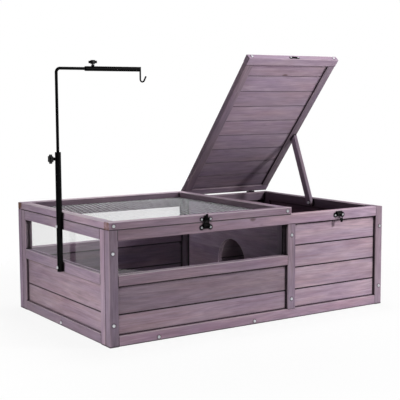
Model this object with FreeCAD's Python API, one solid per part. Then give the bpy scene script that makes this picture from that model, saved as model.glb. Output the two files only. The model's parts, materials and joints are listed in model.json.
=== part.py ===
import FreeCAD, Part
import math
import os

# Tortoise house: a low timber house with a windowed run on the left, a boarded shelter on the right,
# a hinged lid over each, and a lamp stand on the left wall.
# Millimetres. Origin: middle of the footprint on the ground.
# +X to the right along the front, +Y to the back, +Z up.
# The mesh lid is closed and the wood lid stands open on its prop.

V = FreeCAD.Vector

# House
LENGTH = 920.0  # outside, left to right
DEPTH = 572.0  # outside, front to back
BODY_H = 295.0  # ground to the top edge of the walls
SHELTER_L = 345.0  # right end to the middle of the centre posts
FRAME_T = 24.0  # thickness of every wall
POST_W = 26.0  # face width of the end posts and stiles
RAIL_W = 27.5  # face width of the rails
CENTRE_W = 27.5  # face width of the centre posts
MID_Z = 153.0  # underside of the mid rails, below the windows
EASE = 2.5  # radius of the rounded long edges of the timber

# Boards and panes in the frames
BOARD_T = 10.0
BOARD_SET = 8.0  # outer wall face to board face
BOARD_PITCH = 62.5  # cover width of a board
VEE = 2.0  # bevel of a board edge
TONGUE_T = 4.0
TONGUE_H = 5.0
TONGUE_GAP = 0.2
HOUSE_D = 7.0  # depth of the grooves that hold boards and panes
HOUSE_GAP = 0.25  # side clearance in a groove
END_GAP = 1.0  # clearance at the end of a board, pane or tenon
PANE_T = 3.0
PANE_GAP = 0.2

# Floor, divider and its doorway
FLOOR_T = 16.0
FLOOR_GAP = 0.2
DIVIDER_T = 12.0
DOOR_W = 142.0
DOOR_TOP = 191.0  # ground to the top of the arch
CLEAT_W = 12.0  # along the house
CLEAT_D = 20.0  # across the house
CLEAT_TOP_GAP = 4.0

# Lids
LID_T = 19.5
LID_SEAM = 0.5  # gap between the walls and a closed lid
LID_SIDE_GAP = 1.0  # setback of a lid from the end of the house
LID_SPLIT = 3.5  # gap between the two lids
LID_RAIL_W = 26.0
LID_STILE_W = 27.0
LID_TENON_SET = 5.0  # lid face to tenon
LID_BOARD_SET = 3.5  # lid top to board face
LID_BOARD_PITCH = 60.2
WOOD_LID_OPEN = 49.5  # degrees, as it stands on the prop
MESH_T = 1.0
MESH_LAP = 7.5  # mesh over the rails
MESH_REBATE_D = 2.0
MESH_CELLS = 17  # gaps along each side
MESH_BAR = 3.0  # bar between two gaps

# Hinges, two to a lid
MESH_HINGE_IN = 108.7  # lid's end to the middle of a hinge
WOOD_HINGE_IN = 65.0
HINGE_SCREW_SPAN = 18.0
HINGE_SCREW_OFF = 10.8  # hinge axis to its screws
HINGE_L = 30.0
HINGE_MID_L = 12.0  # middle knuckle
HINGE_SIDE_GAP = 0.4
LEAF_T = 1.2
LEAF_H = 18.0
KNUCKLE_R = 3.0
KNUCKLE_GAP = 0.5
PIN_R = 1.5
PIN_GAP = 0.05
PIN_HEAD_R = 2.4
PIN_HEAD_H = 1.0

# Screws
SCREW_R = 2.0
SCREW_HEAD_R = 4.0
SCREW_HEAD_H = 2.0
SCREW_BITE = 16.0  # length in the second piece
SCREW_GAP = 0.05
SMALL_R = 1.5
SMALL_HEAD_R = 2.8
SMALL_HEAD_H = 1.3
SMALL_BITE = 12.0
POST_SCREW_IN = 11.0  # end of the house to the screws of an end post
POST_SCREW_LOW = 55.5
POST_SCREW_DROP = 58.5  # top edge of the walls to the upper screws
FLOOR_SCREW_Z = 9.0
FLOOR_SCREW_SPAN = 305.0  # between the two screws under the run

# Latches
LATCH_SCREW_SPAN = 27.6
LATCH_T = 1.2
LATCH_EAR_R = 6.0
LATCH_WAIST = 6.0  # height of the bar between two ears
LATCH_DROP = 13.6  # top edge of the walls to the plate's middle
LATCH_PIVOT_DROP = 6.5  # top edge of the walls to the pivot
LATCH_PIVOT_OUT = 3.0  # wall face to pivot
LATCH_PIN_R = 1.0
LATCH_LUG_R = 2.4
LATCH_LUG_T = 1.5
LUG_GAP = 0.2
HASP_W = 17.0
HASP_TIP_W = 5.5
HASP_LEG = 3.0  # side bar of the hasp's eye
HASP_EYE_LOW = 5.0  # pivot to the eye
HASP_EYE_TOP = 17.0
HASP_T = 1.4
HASP_STRAIGHT = 18.0
HASP_BEND_R = 16.0
HASP_BEND = 40.0  # degrees, the outward curl of the tip
HASP_BARREL_R = 2.0
WOOD_HASP_OPEN = 155.0  # degrees from closed
KEEPER_UP = 7.5  # lid underside to the keeper's middle
KEEPER_EAR_R = 4.5
KEEPER_LIP_W = 12.0
KEEPER_LIP_H = 6.0
KEEPER_GAP = 0.3  # keeper lip to hasp

# Prop stick, on the right wall
PROP_W = 20.0
PROP_T = 12.0
PROP_Y = 9.0  # pivot
PROP_DROP = 15.0  # top edge of the walls to the pivot
PROP_OFF = 9.0  # wall's inner face to the stick's middle, at the pivot
PROP_LEAN = 6.4  # degrees outwards
PROP_BACK = 28.8  # degrees backwards
PROP_GAP = 0.5  # stick to lid
PROP_BOLT_R = 2.5
PROP_BOLT_HEAD_R = 5.0
PROP_BOLT_HEAD_H = 2.5
PROP_BOLT_BITE = 14.0
PROP_COLLAR_R = 5.0
PROP_SIDE_GAP = 0.2

# Lamp stand, on the left wall
TUBE_R = 8.0
TUBE_BORE_R = 6.0
TUBE_L = 322.5
TUBE_UP = 1.5  # underside of the mid rail to the tube's lower end
TUBE_NECK_H = 14.0
LAMP_Y = -19.0
LAMP_SCREW_UP = 13.0  # underside of the mid rail to the lower screw
LAMP_SCREW_DROP = 17.5  # top edge of the walls to the upper screw
ROD_R = 4.0
RUN_GAP = 0.05  # running clearance of a round fit
ROD_IN = 91.0  # length of the rod in the tube
ROD_RISE = 221.5  # top of the tube to the arm's axis
ROD_COLLAR_R = 5.5
ROD_COLLAR_H = 2.0
BUSH_H = 20.0
BUSH_END_GAP = 0.1
ROD_BEND_R = 11.0
ARM_ROD_IN = 103.0  # length of the rod in the arm tube
ARM_R = 6.5
ARM_START = 85.0  # post axis to the open end of the arm tube
ARM_L = 168.5
ARM_PLUG = 4.0
HOOK_R = 2.25
HOOK_SEAT = 1.0  # depth of the hook's wire in the arm's closed end
HOOK_DROP = 28.0  # arm axis to the start of the bend
HOOK_BEND_R = 6.5
HOOK_TURN = 153.0  # degrees
HOOK_TIP_L = 13.0
KNOB_R = 12.5
KNOB_LOBES = 6
KNOB_LOBE_R = 3.4
KNOB_T = 6.5
KNOB_HUB_R = 6.3
KNOB_HUB_H = 10.5
STEM_R = 2.0
STEM_TIP_GAP = 0.3  # stem to rod
BOSS_R = 4.4
BOSS_H = 4.5
HEIGHT_KNOB_DROP = 18.0  # top of the tube to its knob
HEIGHT_KNOB_OFF = 10.0  # tube face to knob
ARM_KNOB_IN = 23.0  # open end of the arm tube to its knob
ARM_KNOB_OFF = 8.0  # arm tube face to knob

# Places that follow from the sizes
X0 = -LENGTH / 2
X1 = LENGTH / 2
Y0 = -DEPTH / 2
Y1 = DEPTH / 2
CENTRE_X = X1 - SHELTER_L
WINDOW_Z0 = MID_Z + RAIL_W
WINDOW_Z1 = BODY_H - RAIL_W
PANE_SET = (FRAME_T - PANE_T) / 2
LID_Z0 = BODY_H + LID_SEAM
LID_Z1 = LID_Z0 + LID_T
MESH_LID_X = (X0 + LID_SIDE_GAP, CENTRE_X - LID_SPLIT / 2)
WOOD_LID_X = (CENTRE_X + LID_SPLIT / 2, X1 - LID_SIDE_GAP)
HINGE_Y = Y1 + KNUCKLE_R
HINGE_Z = BODY_H + LID_SEAM / 2
LATCH_Z = BODY_H - LATCH_DROP
LATCH_PIVOT_Z = BODY_H - LATCH_PIVOT_DROP
LAMP_X = X0 - TUBE_R
TUBE_LOW = MID_Z + TUBE_UP
TUBE_TOP = TUBE_LOW + TUBE_L
HEIGHT_KNOB_Z = TUBE_TOP - HEIGHT_KNOB_DROP
ROD_FOOT_Z = TUBE_TOP - ROD_IN
ARM_Z = TUBE_TOP + ROD_RISE
ARM_END = ARM_START + ARM_L
ARM_KNOB_OUT = ARM_START + ARM_KNOB_IN

parts = {}


def box(x0, x1, y0, y1, z0, z1):
    return Part.makeBox(x1 - x0, y1 - y0, z1 - z0, V(x0, y0, z0))


def timber(x0, x1, y0, y1, z0, z1, axis):
    """A straight timber with its four long edges rounded."""
    bar = box(x0, x1, y0, y1, z0, z1)
    edges = []
    for edge in bar.Edges:
        along = edge.Vertexes[1].Point.sub(edge.Vertexes[0].Point).normalize()
        if abs(along.dot(axis)) > 0.99:
            edges.append(edge)
    return bar.makeFillet(EASE, edges)


def rod(start, direction, radius, length):
    return Part.makeCylinder(radius, length, start, direction)


def turned(shape, point, axis, degrees):
    copy = shape.copy()
    copy.rotate(point, axis, degrees)
    return copy


def put(name, *solids):
    parts.setdefault(name, []).extend(solids)


def cut_from(names, tool):
    """Take one tool shape out of every solid of the named pieces."""
    for name in names:
        kept = []
        for solid in parts[name]:
            if solid.BoundBox.intersect(tool.BoundBox):
                solid = solid.cut(tool).Solids[0]
            kept.append(solid)
        parts[name] = kept


def screw(point, direction, shank_r, head_r, head_h, length):
    """A round-headed screw with a cross recess. Its head rests on the given point."""
    head = Part.makeCylinder(head_r, head_h, V(0, 0, -head_h))
    rim = [e for e in head.Edges if e.Closed and abs(e.BoundBox.ZMax + head_h) < 1e-6]
    head = head.makeFillet(head_h * 0.6, rim)
    body = head.fuse(Part.makeCylinder(shank_r, length))
    arm = head_r * 0.5
    blade = head_r * 0.11
    recess = box(-arm, arm, -blade, blade, -head_h - 1, -head_h * 0.45)
    body = body.cut(recess).cut(turned(recess, V(0, 0, 0), V(0, 0, 1), 90))
    body = body.Solids[0]
    body.Placement = FreeCAD.Placement(point, FreeCAD.Rotation(V(0, 0, 1), direction))
    return body


def fasten(node, point, direction, through, names, small=False):
    """Add a screw that goes through one piece into the next, and drill both."""
    if small:
        sizes = (SMALL_R, SMALL_HEAD_R, SMALL_HEAD_H)
        length = through + SMALL_BITE
    else:
        sizes = (SCREW_R, SCREW_HEAD_R, SCREW_HEAD_H)
        length = through + SCREW_BITE
    put(node, screw(point, direction, sizes[0], sizes[1], sizes[2], length))
    drill = rod(point.sub(direction * EASE), direction, sizes[0] + SCREW_GAP, length + EASE + SCREW_GAP)
    cut_from(names, drill)


def board(u0, u1, set_in, z0, z1, lower, upper):
    """A board along X that stands on edge, with a groove and a tongue where it meets its neighbours."""
    f = set_in
    b = set_in + BOARD_T
    m = (f + b) / 2
    t = TONGUE_T / 2
    if lower:
        g = t + TONGUE_GAP
        h = z0 + TONGUE_H + TONGUE_GAP
        points = [(f, z0 + VEE), (f + VEE, z0), (m - g, z0), (m - g, h)]
        points += [(m + g, h), (m + g, z0), (b - VEE, z0), (b, z0 + VEE)]
    else:
        points = [(f, z0), (b, z0)]
    if upper:
        h = z1 + TONGUE_H
        points += [(b, z1 - VEE), (b - VEE, z1), (m + t, z1), (m + t, h)]
        points += [(m - t, h), (m - t, z1), (f + VEE, z1), (f, z1 - VEE)]
    else:
        points += [(b, z1), (f, z1)]
    corners = [V(u0, y, z) for y, z in points]
    face = Part.Face(Part.makePolygon(corners + corners[:1]))
    return face.extrude(V(u1 - u0, 0, 0))


def board_stack(u0, u1, set_in, edges):
    """Boards one above the other, from the list of their edges."""
    stack = []
    for i in range(len(edges) - 1):
        stack.append(board(u0, u1, set_in, edges[i], edges[i + 1], i > 0, i < len(edges) - 2))
    return stack


def course_edges(low, high):
    """Board edges counted down from the underside of the top rail, as on every wall."""
    edges = []
    line = WINDOW_Z1 - BOARD_PITCH
    while line > low + BOARD_PITCH / 4:
        if line < high - BOARD_PITCH / 4:
            edges.append(line)
        line -= BOARD_PITCH
    return [low - HOUSE_D] + edges[::-1] + [high + HOUSE_D - END_GAP]


def wall(length, centre, windows):
    """A framed wall: X along it, Y from its outer to its inner face. Bays are windowed or boarded."""
    up = V(0, 0, 1)
    along = V(1, 0, 0)
    posts = [
        timber(0, POST_W, 0, FRAME_T, 0, BODY_H, up),
        timber(length - POST_W, length, 0, FRAME_T, 0, BODY_H, up),
    ]
    inner = (POST_W, length - POST_W)
    rails = {
        "top": timber(inner[0], inner[1], 0, FRAME_T, WINDOW_Z1, BODY_H, along),
        "bottom": timber(inner[0], inner[1], 0, FRAME_T, 0, RAIL_W, along),
    }
    spans = {"top": (WINDOW_Z1, inner), "bottom": (0, inner)}
    bays = [inner]
    if centre:
        bays = [(inner[0], centre - CENTRE_W / 2), (centre + CENTRE_W / 2, inner[1])]
        posts.append(timber(bays[0][1], bays[1][0], 0, FRAME_T, RAIL_W, WINDOW_Z1, up))
    if windows[0]:
        rails["mid"] = timber(bays[0][0], bays[0][1], 0, FRAME_T, MID_Z, WINDOW_Z0, along)
        spans["mid"] = (MID_Z, bays[0])
    cutters = []
    boards = []
    panes = []
    for (a, b), window in zip(bays, windows):
        top = MID_Z if window else WINDOW_Z1
        cutters.append(
            box(
                a - HOUSE_D,
                b + HOUSE_D,
                BOARD_SET - HOUSE_GAP,
                BOARD_SET + BOARD_T + HOUSE_GAP,
                RAIL_W - HOUSE_D,
                top + HOUSE_D,
            )
        )
        reach = HOUSE_D - END_GAP
        boards.append(board_stack(a - reach, b + reach, BOARD_SET, course_edges(RAIL_W, top)))
        if window:
            cutters.append(
                box(
                    a - HOUSE_D,
                    b + HOUSE_D,
                    PANE_SET - PANE_GAP,
                    PANE_SET + PANE_T + PANE_GAP,
                    WINDOW_Z0 - HOUSE_D,
                    WINDOW_Z1 + HOUSE_D,
                )
            )
            panes.append(
                box(
                    a - reach,
                    b + reach,
                    PANE_SET,
                    PANE_SET + PANE_T,
                    WINDOW_Z0 - HOUSE_D,
                    WINDOW_Z1 + HOUSE_D - END_GAP,
                )
            )
    for cutter in cutters:
        posts = [p.cut(cutter) for p in posts]
        rails = {k: r.cut(cutter) for k, r in rails.items()}
    # Stub tenons join the rails to the posts, and the centre post to the rails
    tenon_l = HOUSE_D - END_GAP
    back = BOARD_SET + BOARD_T
    for key, (z, (a, b)) in spans.items():
        low = z + HOUSE_D
        high = z + RAIL_W - HOUSE_D
        rails[key] = rails[key].fuse(box(a - tenon_l, a, BOARD_SET, back, low, high))
        rails[key] = rails[key].fuse(box(b, b + tenon_l, BOARD_SET, back, low, high))
        slots = [
            box(a - HOUSE_D, a, BOARD_SET - HOUSE_GAP, back + HOUSE_GAP, low - HOUSE_GAP, high + HOUSE_GAP),
            box(b, b + HOUSE_D, BOARD_SET - HOUSE_GAP, back + HOUSE_GAP, low - HOUSE_GAP, high + HOUSE_GAP),
        ]
        for slot in slots:
            posts = [p.cut(slot) for p in posts]
    if centre:
        a = bays[0][1] + HOUSE_D
        b = bays[1][0] - HOUSE_D
        for key, z0, z1, s0, s1 in (
            ("bottom", RAIL_W - tenon_l, RAIL_W, RAIL_W - HOUSE_D, RAIL_W),
            ("top", WINDOW_Z1, WINDOW_Z1 + tenon_l, WINDOW_Z1, WINDOW_Z1 + HOUSE_D),
        ):
            posts[2] = posts[2].fuse(box(a, b, BOARD_SET, back, z0, z1))
            slot = box(a - HOUSE_GAP, b + HOUSE_GAP, BOARD_SET - HOUSE_GAP, back + HOUSE_GAP, s0, s1)
            rails[key] = rails[key].cut(slot)
    posts = [p.Solids[0] for p in posts]
    rails = {k: r.Solids[0] for k, r in rails.items()}
    return posts, rails, boards, panes


def placed(shapes, point, degrees):
    place = FreeCAD.Placement(point, FreeCAD.Rotation(V(0, 0, 1), degrees))
    moved = []
    for shape in shapes:
        copy = shape.copy()
        copy.Placement = place.multiply(copy.Placement)
        moved.append(copy)
    return moved


def put_wall(side, built, point, degrees, mirror=False):
    """Place one wall and name its pieces."""
    posts, rails, boards, panes = built

    def place(shapes):
        shapes = placed(shapes, point, degrees)
        if mirror:
            shapes = [s.mirror(V(0, 0, 0), V(0, 1, 0)) for s in shapes]
        return shapes

    long_wall = len(posts) == 3
    put(side + ("_end_posts" if long_wall else "_stiles"), *place(posts[:2]))
    if long_wall:
        put(side + "_centre_post", *place(posts[2:]))
    for key, rail in rails.items():
        put(side + "_" + key + "_rail", *place([rail]))
    if long_wall:
        put(side + "_run_boards", *place(boards[0]))
        put(side + "_shelter_boards", *place(boards[1]))
    else:
        put(side + "_boards", *place(boards[0]))
    if panes:
        put(side + "_window", *place(panes))


# Walls
long_wall = wall(LENGTH, CENTRE_X - X0, (True, False))
put_wall("front", long_wall, V(X0, Y0, 0), 0)
put_wall("back", long_wall, V(X0, Y0, 0), 0, mirror=True)
side_l = DEPTH - 2 * FRAME_T
put_wall("left", wall(side_l, None, (True,)), V(X0, side_l / 2, 0), -90)
put_wall("right", wall(side_l, None, (False,)), V(X1, -side_l / 2, 0), 90)

# Floor and divider
IN_X0 = X0 + FRAME_T
IN_X1 = X1 - FRAME_T
IN_Y0 = Y0 + FRAME_T
IN_Y1 = Y1 - FRAME_T
put(
    "floor_panel",
    box(IN_X0 + FLOOR_GAP, IN_X1 - FLOOR_GAP, IN_Y0 + FLOOR_GAP, IN_Y1 - FLOOR_GAP, 0, FLOOR_T),
)
DIV_X0 = CENTRE_X - DIVIDER_T / 2
DIV_X1 = CENTRE_X + DIVIDER_T / 2
divider = box(DIV_X0, DIV_X1, IN_Y0, IN_Y1, FLOOR_T, BODY_H)
arch_z = DOOR_TOP - DOOR_W / 2
doorway = box(DIV_X0 - 1, DIV_X1 + 1, -DOOR_W / 2, DOOR_W / 2, FLOOR_T - 1, arch_z)
doorway = doorway.fuse(rod(V(DIV_X0 - 1, 0, arch_z), V(1, 0, 0), DOOR_W / 2, DIVIDER_T + 2))
put("divider_panel", divider.cut(doorway).Solids[0])
for y in (IN_Y0, IN_Y1 - CLEAT_D):
    cleat = box(DIV_X0 - CLEAT_W, DIV_X0, y, y + CLEAT_D, FLOOR_T, BODY_H - CLEAT_TOP_GAP)
    put("divider_cleats", cleat)

# Frame screws: long walls to side walls and divider, and all walls to the floor
FORWARD = V(0, 1, 0)
BACKWARD = V(0, -1, 0)
RIGHTWARD = V(1, 0, 0)
LEFTWARD = V(-1, 0, 0)
run_mid = (X0 + POST_W + CENTRE_X - CENTRE_W / 2) / 2
for side, y, way in (("front", Y0, FORWARD), ("back", Y1, BACKWARD)):
    for z in (POST_SCREW_LOW, BODY_H - POST_SCREW_DROP):
        for x, stiles in ((X0 + POST_SCREW_IN, "left_stiles"), (X1 - POST_SCREW_IN, "right_stiles")):
            fasten("frame_screws", V(x, y, z), way, FRAME_T, (side + "_end_posts", stiles))
        fasten("frame_screws", V(CENTRE_X, y, z), way, FRAME_T, (side + "_centre_post", "divider_panel"))
    for x in (run_mid - FLOOR_SCREW_SPAN / 2, run_mid + FLOOR_SCREW_SPAN / 2):
        point = V(x, y, FLOOR_SCREW_Z)
        fasten("frame_screws", point, way, FRAME_T, (side + "_bottom_rail", "floor_panel"))
fasten("frame_screws", V(X0, 0, FLOOR_SCREW_Z), RIGHTWARD, FRAME_T, ("left_bottom_rail", "floor_panel"))
fasten("frame_screws", V(X1, 0, FLOOR_SCREW_Z), LEFTWARD, FRAME_T, ("right_bottom_rail", "floor_panel"))


def lid_frame(name, side_name, span):
    """The four timbers of a lid. The rails run its full length and the side pieces stand between them."""
    x0, x1 = span
    in_y0 = Y0 + LID_RAIL_W
    in_y1 = Y1 - LID_RAIL_W
    along = V(1, 0, 0)
    across = V(0, 1, 0)
    put(name + "_front_rail", timber(x0, x1, Y0, in_y0, LID_Z0, LID_Z1, along))
    put(name + "_back_rail", timber(x0, x1, in_y1, Y1, LID_Z0, LID_Z1, along))
    tenon_l = HOUSE_D - END_GAP
    low = LID_Z0 + LID_TENON_SET
    high = LID_Z1 - LID_TENON_SET
    for a in (x0, x1 - LID_STILE_W):
        b = a + LID_STILE_W
        stile = timber(a, b, in_y0, in_y1, LID_Z0, LID_Z1, across)
        stile = stile.fuse(
            box(a + HOUSE_D, b - HOUSE_D, in_y0 - tenon_l, in_y1 + tenon_l, low, high)
        )
        put(name + "_" + side_name, stile.Solids[0])
        slot = box(
            a + HOUSE_D - HOUSE_GAP,
            b - HOUSE_D + HOUSE_GAP,
            in_y0 - HOUSE_D,
            in_y1 + HOUSE_D,
            low - HOUSE_GAP,
            high + HOUSE_GAP,
        )
        cut_from((name + "_front_rail", name + "_back_rail"), slot)
    frame = (name + "_front_rail", name + "_back_rail", name + "_" + side_name)
    opening = (x0 + LID_STILE_W, x1 - LID_STILE_W, in_y0, in_y1)
    return frame, opening


# Mesh lid: the wire mesh lies in a rebate under the frame
mesh_frame, hole = lid_frame("mesh_lid", "side_rails", MESH_LID_X)
lap = MESH_LAP + FLOOR_GAP
rebate = box(hole[0] - lap, hole[1] + lap, hole[2] - lap, hole[3] + lap, LID_Z0 - 1, LID_Z0 + MESH_REBATE_D)
cut_from(mesh_frame, rebate)
mesh_z = LID_Z0 + MESH_REBATE_D - MESH_T


def rectangle(x0, x1, y0, y1, z):
    corners = [V(x0, y0, z), V(x1, y0, z), V(x1, y1, z), V(x0, y1, z)]
    return Part.makePolygon(corners + corners[:1])


sheet = rectangle(hole[0] - MESH_LAP, hole[1] + MESH_LAP, hole[2] - MESH_LAP, hole[3] + MESH_LAP, mesh_z)
pitch_x = (hole[1] - hole[0]) / MESH_CELLS
pitch_y = (hole[3] - hole[2]) / MESH_CELLS
gaps = []
for i in range(MESH_CELLS):
    for j in range(MESH_CELLS):
        gx = hole[0] + i * pitch_x
        gy = hole[2] + j * pitch_y
        half = MESH_BAR / 2
        gaps.append(rectangle(gx + half, gx + pitch_x - half, gy + half, gy + pitch_y - half, mesh_z))
put("wire_mesh", Part.makeFace([sheet] + gaps, "Part::FaceMakerCheese").extrude(V(0, 0, MESH_T)).Solids[0])

# Wood lid: boards in grooves of the frame
wood_frame, hole = lid_frame("wood_lid", "stiles", WOOD_LID_X)
groove = box(
    hole[0] - HOUSE_D,
    hole[1] + HOUSE_D,
    hole[2] - HOUSE_D,
    hole[3] + HOUSE_D,
    LID_Z1 - LID_BOARD_SET - BOARD_T - HOUSE_GAP,
    LID_Z1 - LID_BOARD_SET + HOUSE_GAP,
)
cut_from(("wood_lid_front_rail", "wood_lid_back_rail"), groove)
inner_groove = groove.common(box(hole[0] - HOUSE_D, hole[1] + HOUSE_D, hole[2], hole[3], LID_Z0, LID_Z1))
cut_from(("wood_lid_stiles",), inner_groove)
# The boards are laid from the hinge side, and the last one is ripped to fit
reach = HOUSE_D - END_GAP
span_y = hole[3] - hole[2]
edges = [-reach]
while edges[-1] + LID_BOARD_PITCH < span_y - LID_BOARD_PITCH / 4:
    edges.append(edges[-1] + LID_BOARD_PITCH)
edges.append(span_y + reach)
lid_boards = board_stack(hole[0] - reach, hole[1] + reach, LID_BOARD_SET, edges)
for piece in lid_boards:
    flat = turned(piece, V(0, 0, 0), V(0, 1, -1), 180)
    flat.translate(V(hole[0] + hole[1], hole[3], LID_Z1))
    put("wood_lid_boards", flat)

# Lid screws, through the rails into the side pieces
for name, side_name, span in (("mesh_lid", "side_rails", MESH_LID_X), ("wood_lid", "stiles", WOOD_LID_X)):
    for x in (span[0] + LID_STILE_W / 2, span[1] - LID_STILE_W / 2):
        for rail, y, way in (("_front_rail", Y0, FORWARD), ("_back_rail", Y1, BACKWARD)):
            point = V(x, y, (LID_Z0 + LID_Z1) / 2)
            fasten(name + "_screws", point, way, LID_RAIL_W, (name + rail, name + "_" + side_name))


def leaf(x, up):
    """One hinge leaf on the back face. The lid's leaf points up and has the middle knuckle."""
    a = x - HINGE_L / 2
    mid0 = x - HINGE_MID_L / 2
    mid1 = x + HINGE_MID_L / 2
    axis = V(1, 0, 0)
    z0, z1 = (HINGE_Z, HINGE_Z + LEAF_H) if up else (HINGE_Z - LEAF_H, HINGE_Z)
    plate = box(a, a + HINGE_L, Y1, Y1 + LEAF_T, z0, z1)
    clear = KNUCKLE_R + KNUCKLE_GAP
    if up:
        own = [(mid0, mid1)]
        others = [(a - 1, mid0), (mid1, a + HINGE_L + 1)]
    else:
        own = [(a, mid0 - HINGE_SIDE_GAP), (mid1 + HINGE_SIDE_GAP, a + HINGE_L)]
        others = [(mid0 - HINGE_SIDE_GAP, mid1 + HINGE_SIDE_GAP)]
    for s0, s1 in others:
        plate = plate.cut(box(s0, s1, Y1 - 1, Y1 + LEAF_T + 1, HINGE_Z - clear, HINGE_Z + clear))
    for s0, s1 in own:
        plate = plate.fuse(rod(V(s0, HINGE_Y, HINGE_Z), axis, KNUCKLE_R, s1 - s0))
    bore = rod(V(a - 1, HINGE_Y, HINGE_Z), axis, PIN_R + PIN_GAP, HINGE_L + 2)
    return plate.cut(bore).Solids[0]


# Hinges
for name, rail, span, inset in (
    ("mesh_lid", "mesh_lid_back_rail", MESH_LID_X, MESH_HINGE_IN),
    ("wood_lid", "wood_lid_back_rail", WOOD_LID_X, WOOD_HINGE_IN),
):
    for x in (span[0] + inset, span[1] - inset):
        put("hinge_house_leaves", leaf(x, False))
        put(name + "_hinge_leaves", leaf(x, True))
        pin = rod(V(x - HINGE_L / 2, HINGE_Y, HINGE_Z), V(1, 0, 0), PIN_R, HINGE_L)
        head = rod(V(x + HINGE_L / 2, HINGE_Y, HINGE_Z), V(1, 0, 0), PIN_HEAD_R, PIN_HEAD_H)
        put("hinge_pins", pin.fuse(head).Solids[0])
        for side in (-HINGE_SCREW_SPAN / 2, HINGE_SCREW_SPAN / 2):
            low = V(x + side, Y1 + LEAF_T, HINGE_Z - HINGE_SCREW_OFF)
            high = V(x + side, Y1 + LEAF_T, HINGE_Z + HINGE_SCREW_OFF)
            fasten("hardware_screws", low, BACKWARD, LEAF_T, ("hinge_house_leaves", "back_top_rail"), True)
            fasten(name + "_screws", high, BACKWARD, LEAF_T, (name + "_hinge_leaves", rail), True)


def ears(x, z, radius):
    """A flat bar on the front face with a round ear at each screw."""
    half = LATCH_SCREW_SPAN / 2
    waist = LATCH_WAIST / 2
    plate = box(x - half, x + half, Y0 - LATCH_T, Y0, z - waist, z + waist)
    for side in (-half, half):
        plate = plate.fuse(rod(V(x + side, Y0 - LATCH_T, z), FORWARD, radius, LATCH_T))
    return plate.removeSplitter()


PIVOT_Y = Y0 - LATCH_PIVOT_OUT
KEEPER_Z = LID_Z0 + KEEPER_UP


def latch_plate(x):
    """Plate on the top rail with two lugs and the fixed pivot pin of the hasp."""
    plate = ears(x, LATCH_Z, LATCH_EAR_R)
    inner = HASP_W / 2 + LUG_GAP
    for s in (x - inner - LATCH_LUG_T, x + inner):
        lug = rod(V(s, PIVOT_Y, LATCH_PIVOT_Z), RIGHTWARD, LATCH_LUG_R, LATCH_LUG_T)
        web = box(s, s + LATCH_LUG_T, PIVOT_Y - LATCH_LUG_R, Y0, LATCH_Z, LATCH_PIVOT_Z)
        foot = box(s, s + LATCH_LUG_T, PIVOT_Y, Y0, LATCH_Z, LATCH_PIVOT_Z + LATCH_LUG_R)
        plate = plate.fuse(lug).fuse(web).fuse(foot)
    pin_l = 2 * (inner + LATCH_LUG_T)
    plate = plate.fuse(rod(V(x - pin_l / 2, PIVOT_Y, LATCH_PIVOT_Z), RIGHTWARD, LATCH_PIN_R, pin_l))
    return plate.removeSplitter().Solids[0]


def hasp(x):
    """Closed hasp: a tapered loop that rises from its barrel and curls outwards at the tip."""
    t = HASP_T / 2
    top = LATCH_PIVOT_Z + HASP_STRAIGHT
    turn = math.radians(HASP_BEND)
    centre_y = PIVOT_Y - HASP_BEND_R

    def arc_point(radius, angle):
        return V(x, centre_y + radius * math.cos(angle), top + radius * math.sin(angle))

    outer = HASP_BEND_R + t
    inner = HASP_BEND_R - t
    low_in = V(x, PIVOT_Y + t, LATCH_PIVOT_Z)
    low_out = V(x, PIVOT_Y - t, LATCH_PIVOT_Z)
    outline = [
        Part.LineSegment(low_in, arc_point(outer, 0)).toShape(),
        Part.Arc(arc_point(outer, 0), arc_point(outer, turn / 2), arc_point(outer, turn)).toShape(),
        Part.LineSegment(arc_point(outer, turn), arc_point(inner, turn)).toShape(),
        Part.Arc(arc_point(inner, turn), arc_point(inner, turn / 2), arc_point(inner, 0)).toShape(),
        Part.LineSegment(arc_point(inner, 0), low_out).toShape(),
        Part.LineSegment(low_out, low_in).toShape(),
    ]
    strap = Part.Face(Part.Wire(outline)).extrude(V(HASP_W, 0, 0))
    strap.translate(V(-HASP_W / 2, 0, 0))
    tip_z = arc_point(outer, turn).z + HASP_T
    w = HASP_W / 2
    tip = HASP_TIP_W / 2
    narrowing = (w - tip) / (tip_z - LATCH_PIVOT_Z)

    def slab(low, high, low_w, high_w):
        front = [(-low_w, low), (low_w, low), (high_w, high), (-high_w, high)]
        corners = [V(x + a, PIVOT_Y + HASP_BEND_R, LATCH_PIVOT_Z + b) for a, b in front]
        return Part.Face(Part.makePolygon(corners + corners[:1])).extrude(V(0, -3 * HASP_BEND_R, 0))

    strap = strap.common(slab(0, tip_z - LATCH_PIVOT_Z, w, tip))
    eye_low_w = w - narrowing * HASP_EYE_LOW - HASP_LEG
    eye_top_w = w - narrowing * HASP_EYE_TOP - HASP_LEG
    strap = strap.cut(slab(HASP_EYE_LOW, HASP_EYE_TOP, eye_low_w, eye_top_w))
    barrel = rod(V(x - w, PIVOT_Y, LATCH_PIVOT_Z), RIGHTWARD, HASP_BARREL_R, HASP_W)
    strap = strap.fuse(barrel)
    bore = rod(V(x - w - 1, PIVOT_Y, LATCH_PIVOT_Z), RIGHTWARD, LATCH_PIN_R + RUN_GAP, HASP_W + 2)
    return strap.cut(bore).Solids[0]


def keeper(x):
    """Keeper on the lid's front edge, with the lip that the closed hasp covers."""
    plate = ears(x, KEEPER_Z, KEEPER_EAR_R)
    face = PIVOT_Y + HASP_T / 2 + KEEPER_GAP
    half_w = KEEPER_LIP_W / 2
    half_h = KEEPER_LIP_H / 2
    lip = box(x - half_w, x + half_w, face, Y0, KEEPER_Z - half_h, KEEPER_Z + half_h)
    return plate.fuse(lip).removeSplitter().Solids[0]


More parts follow.
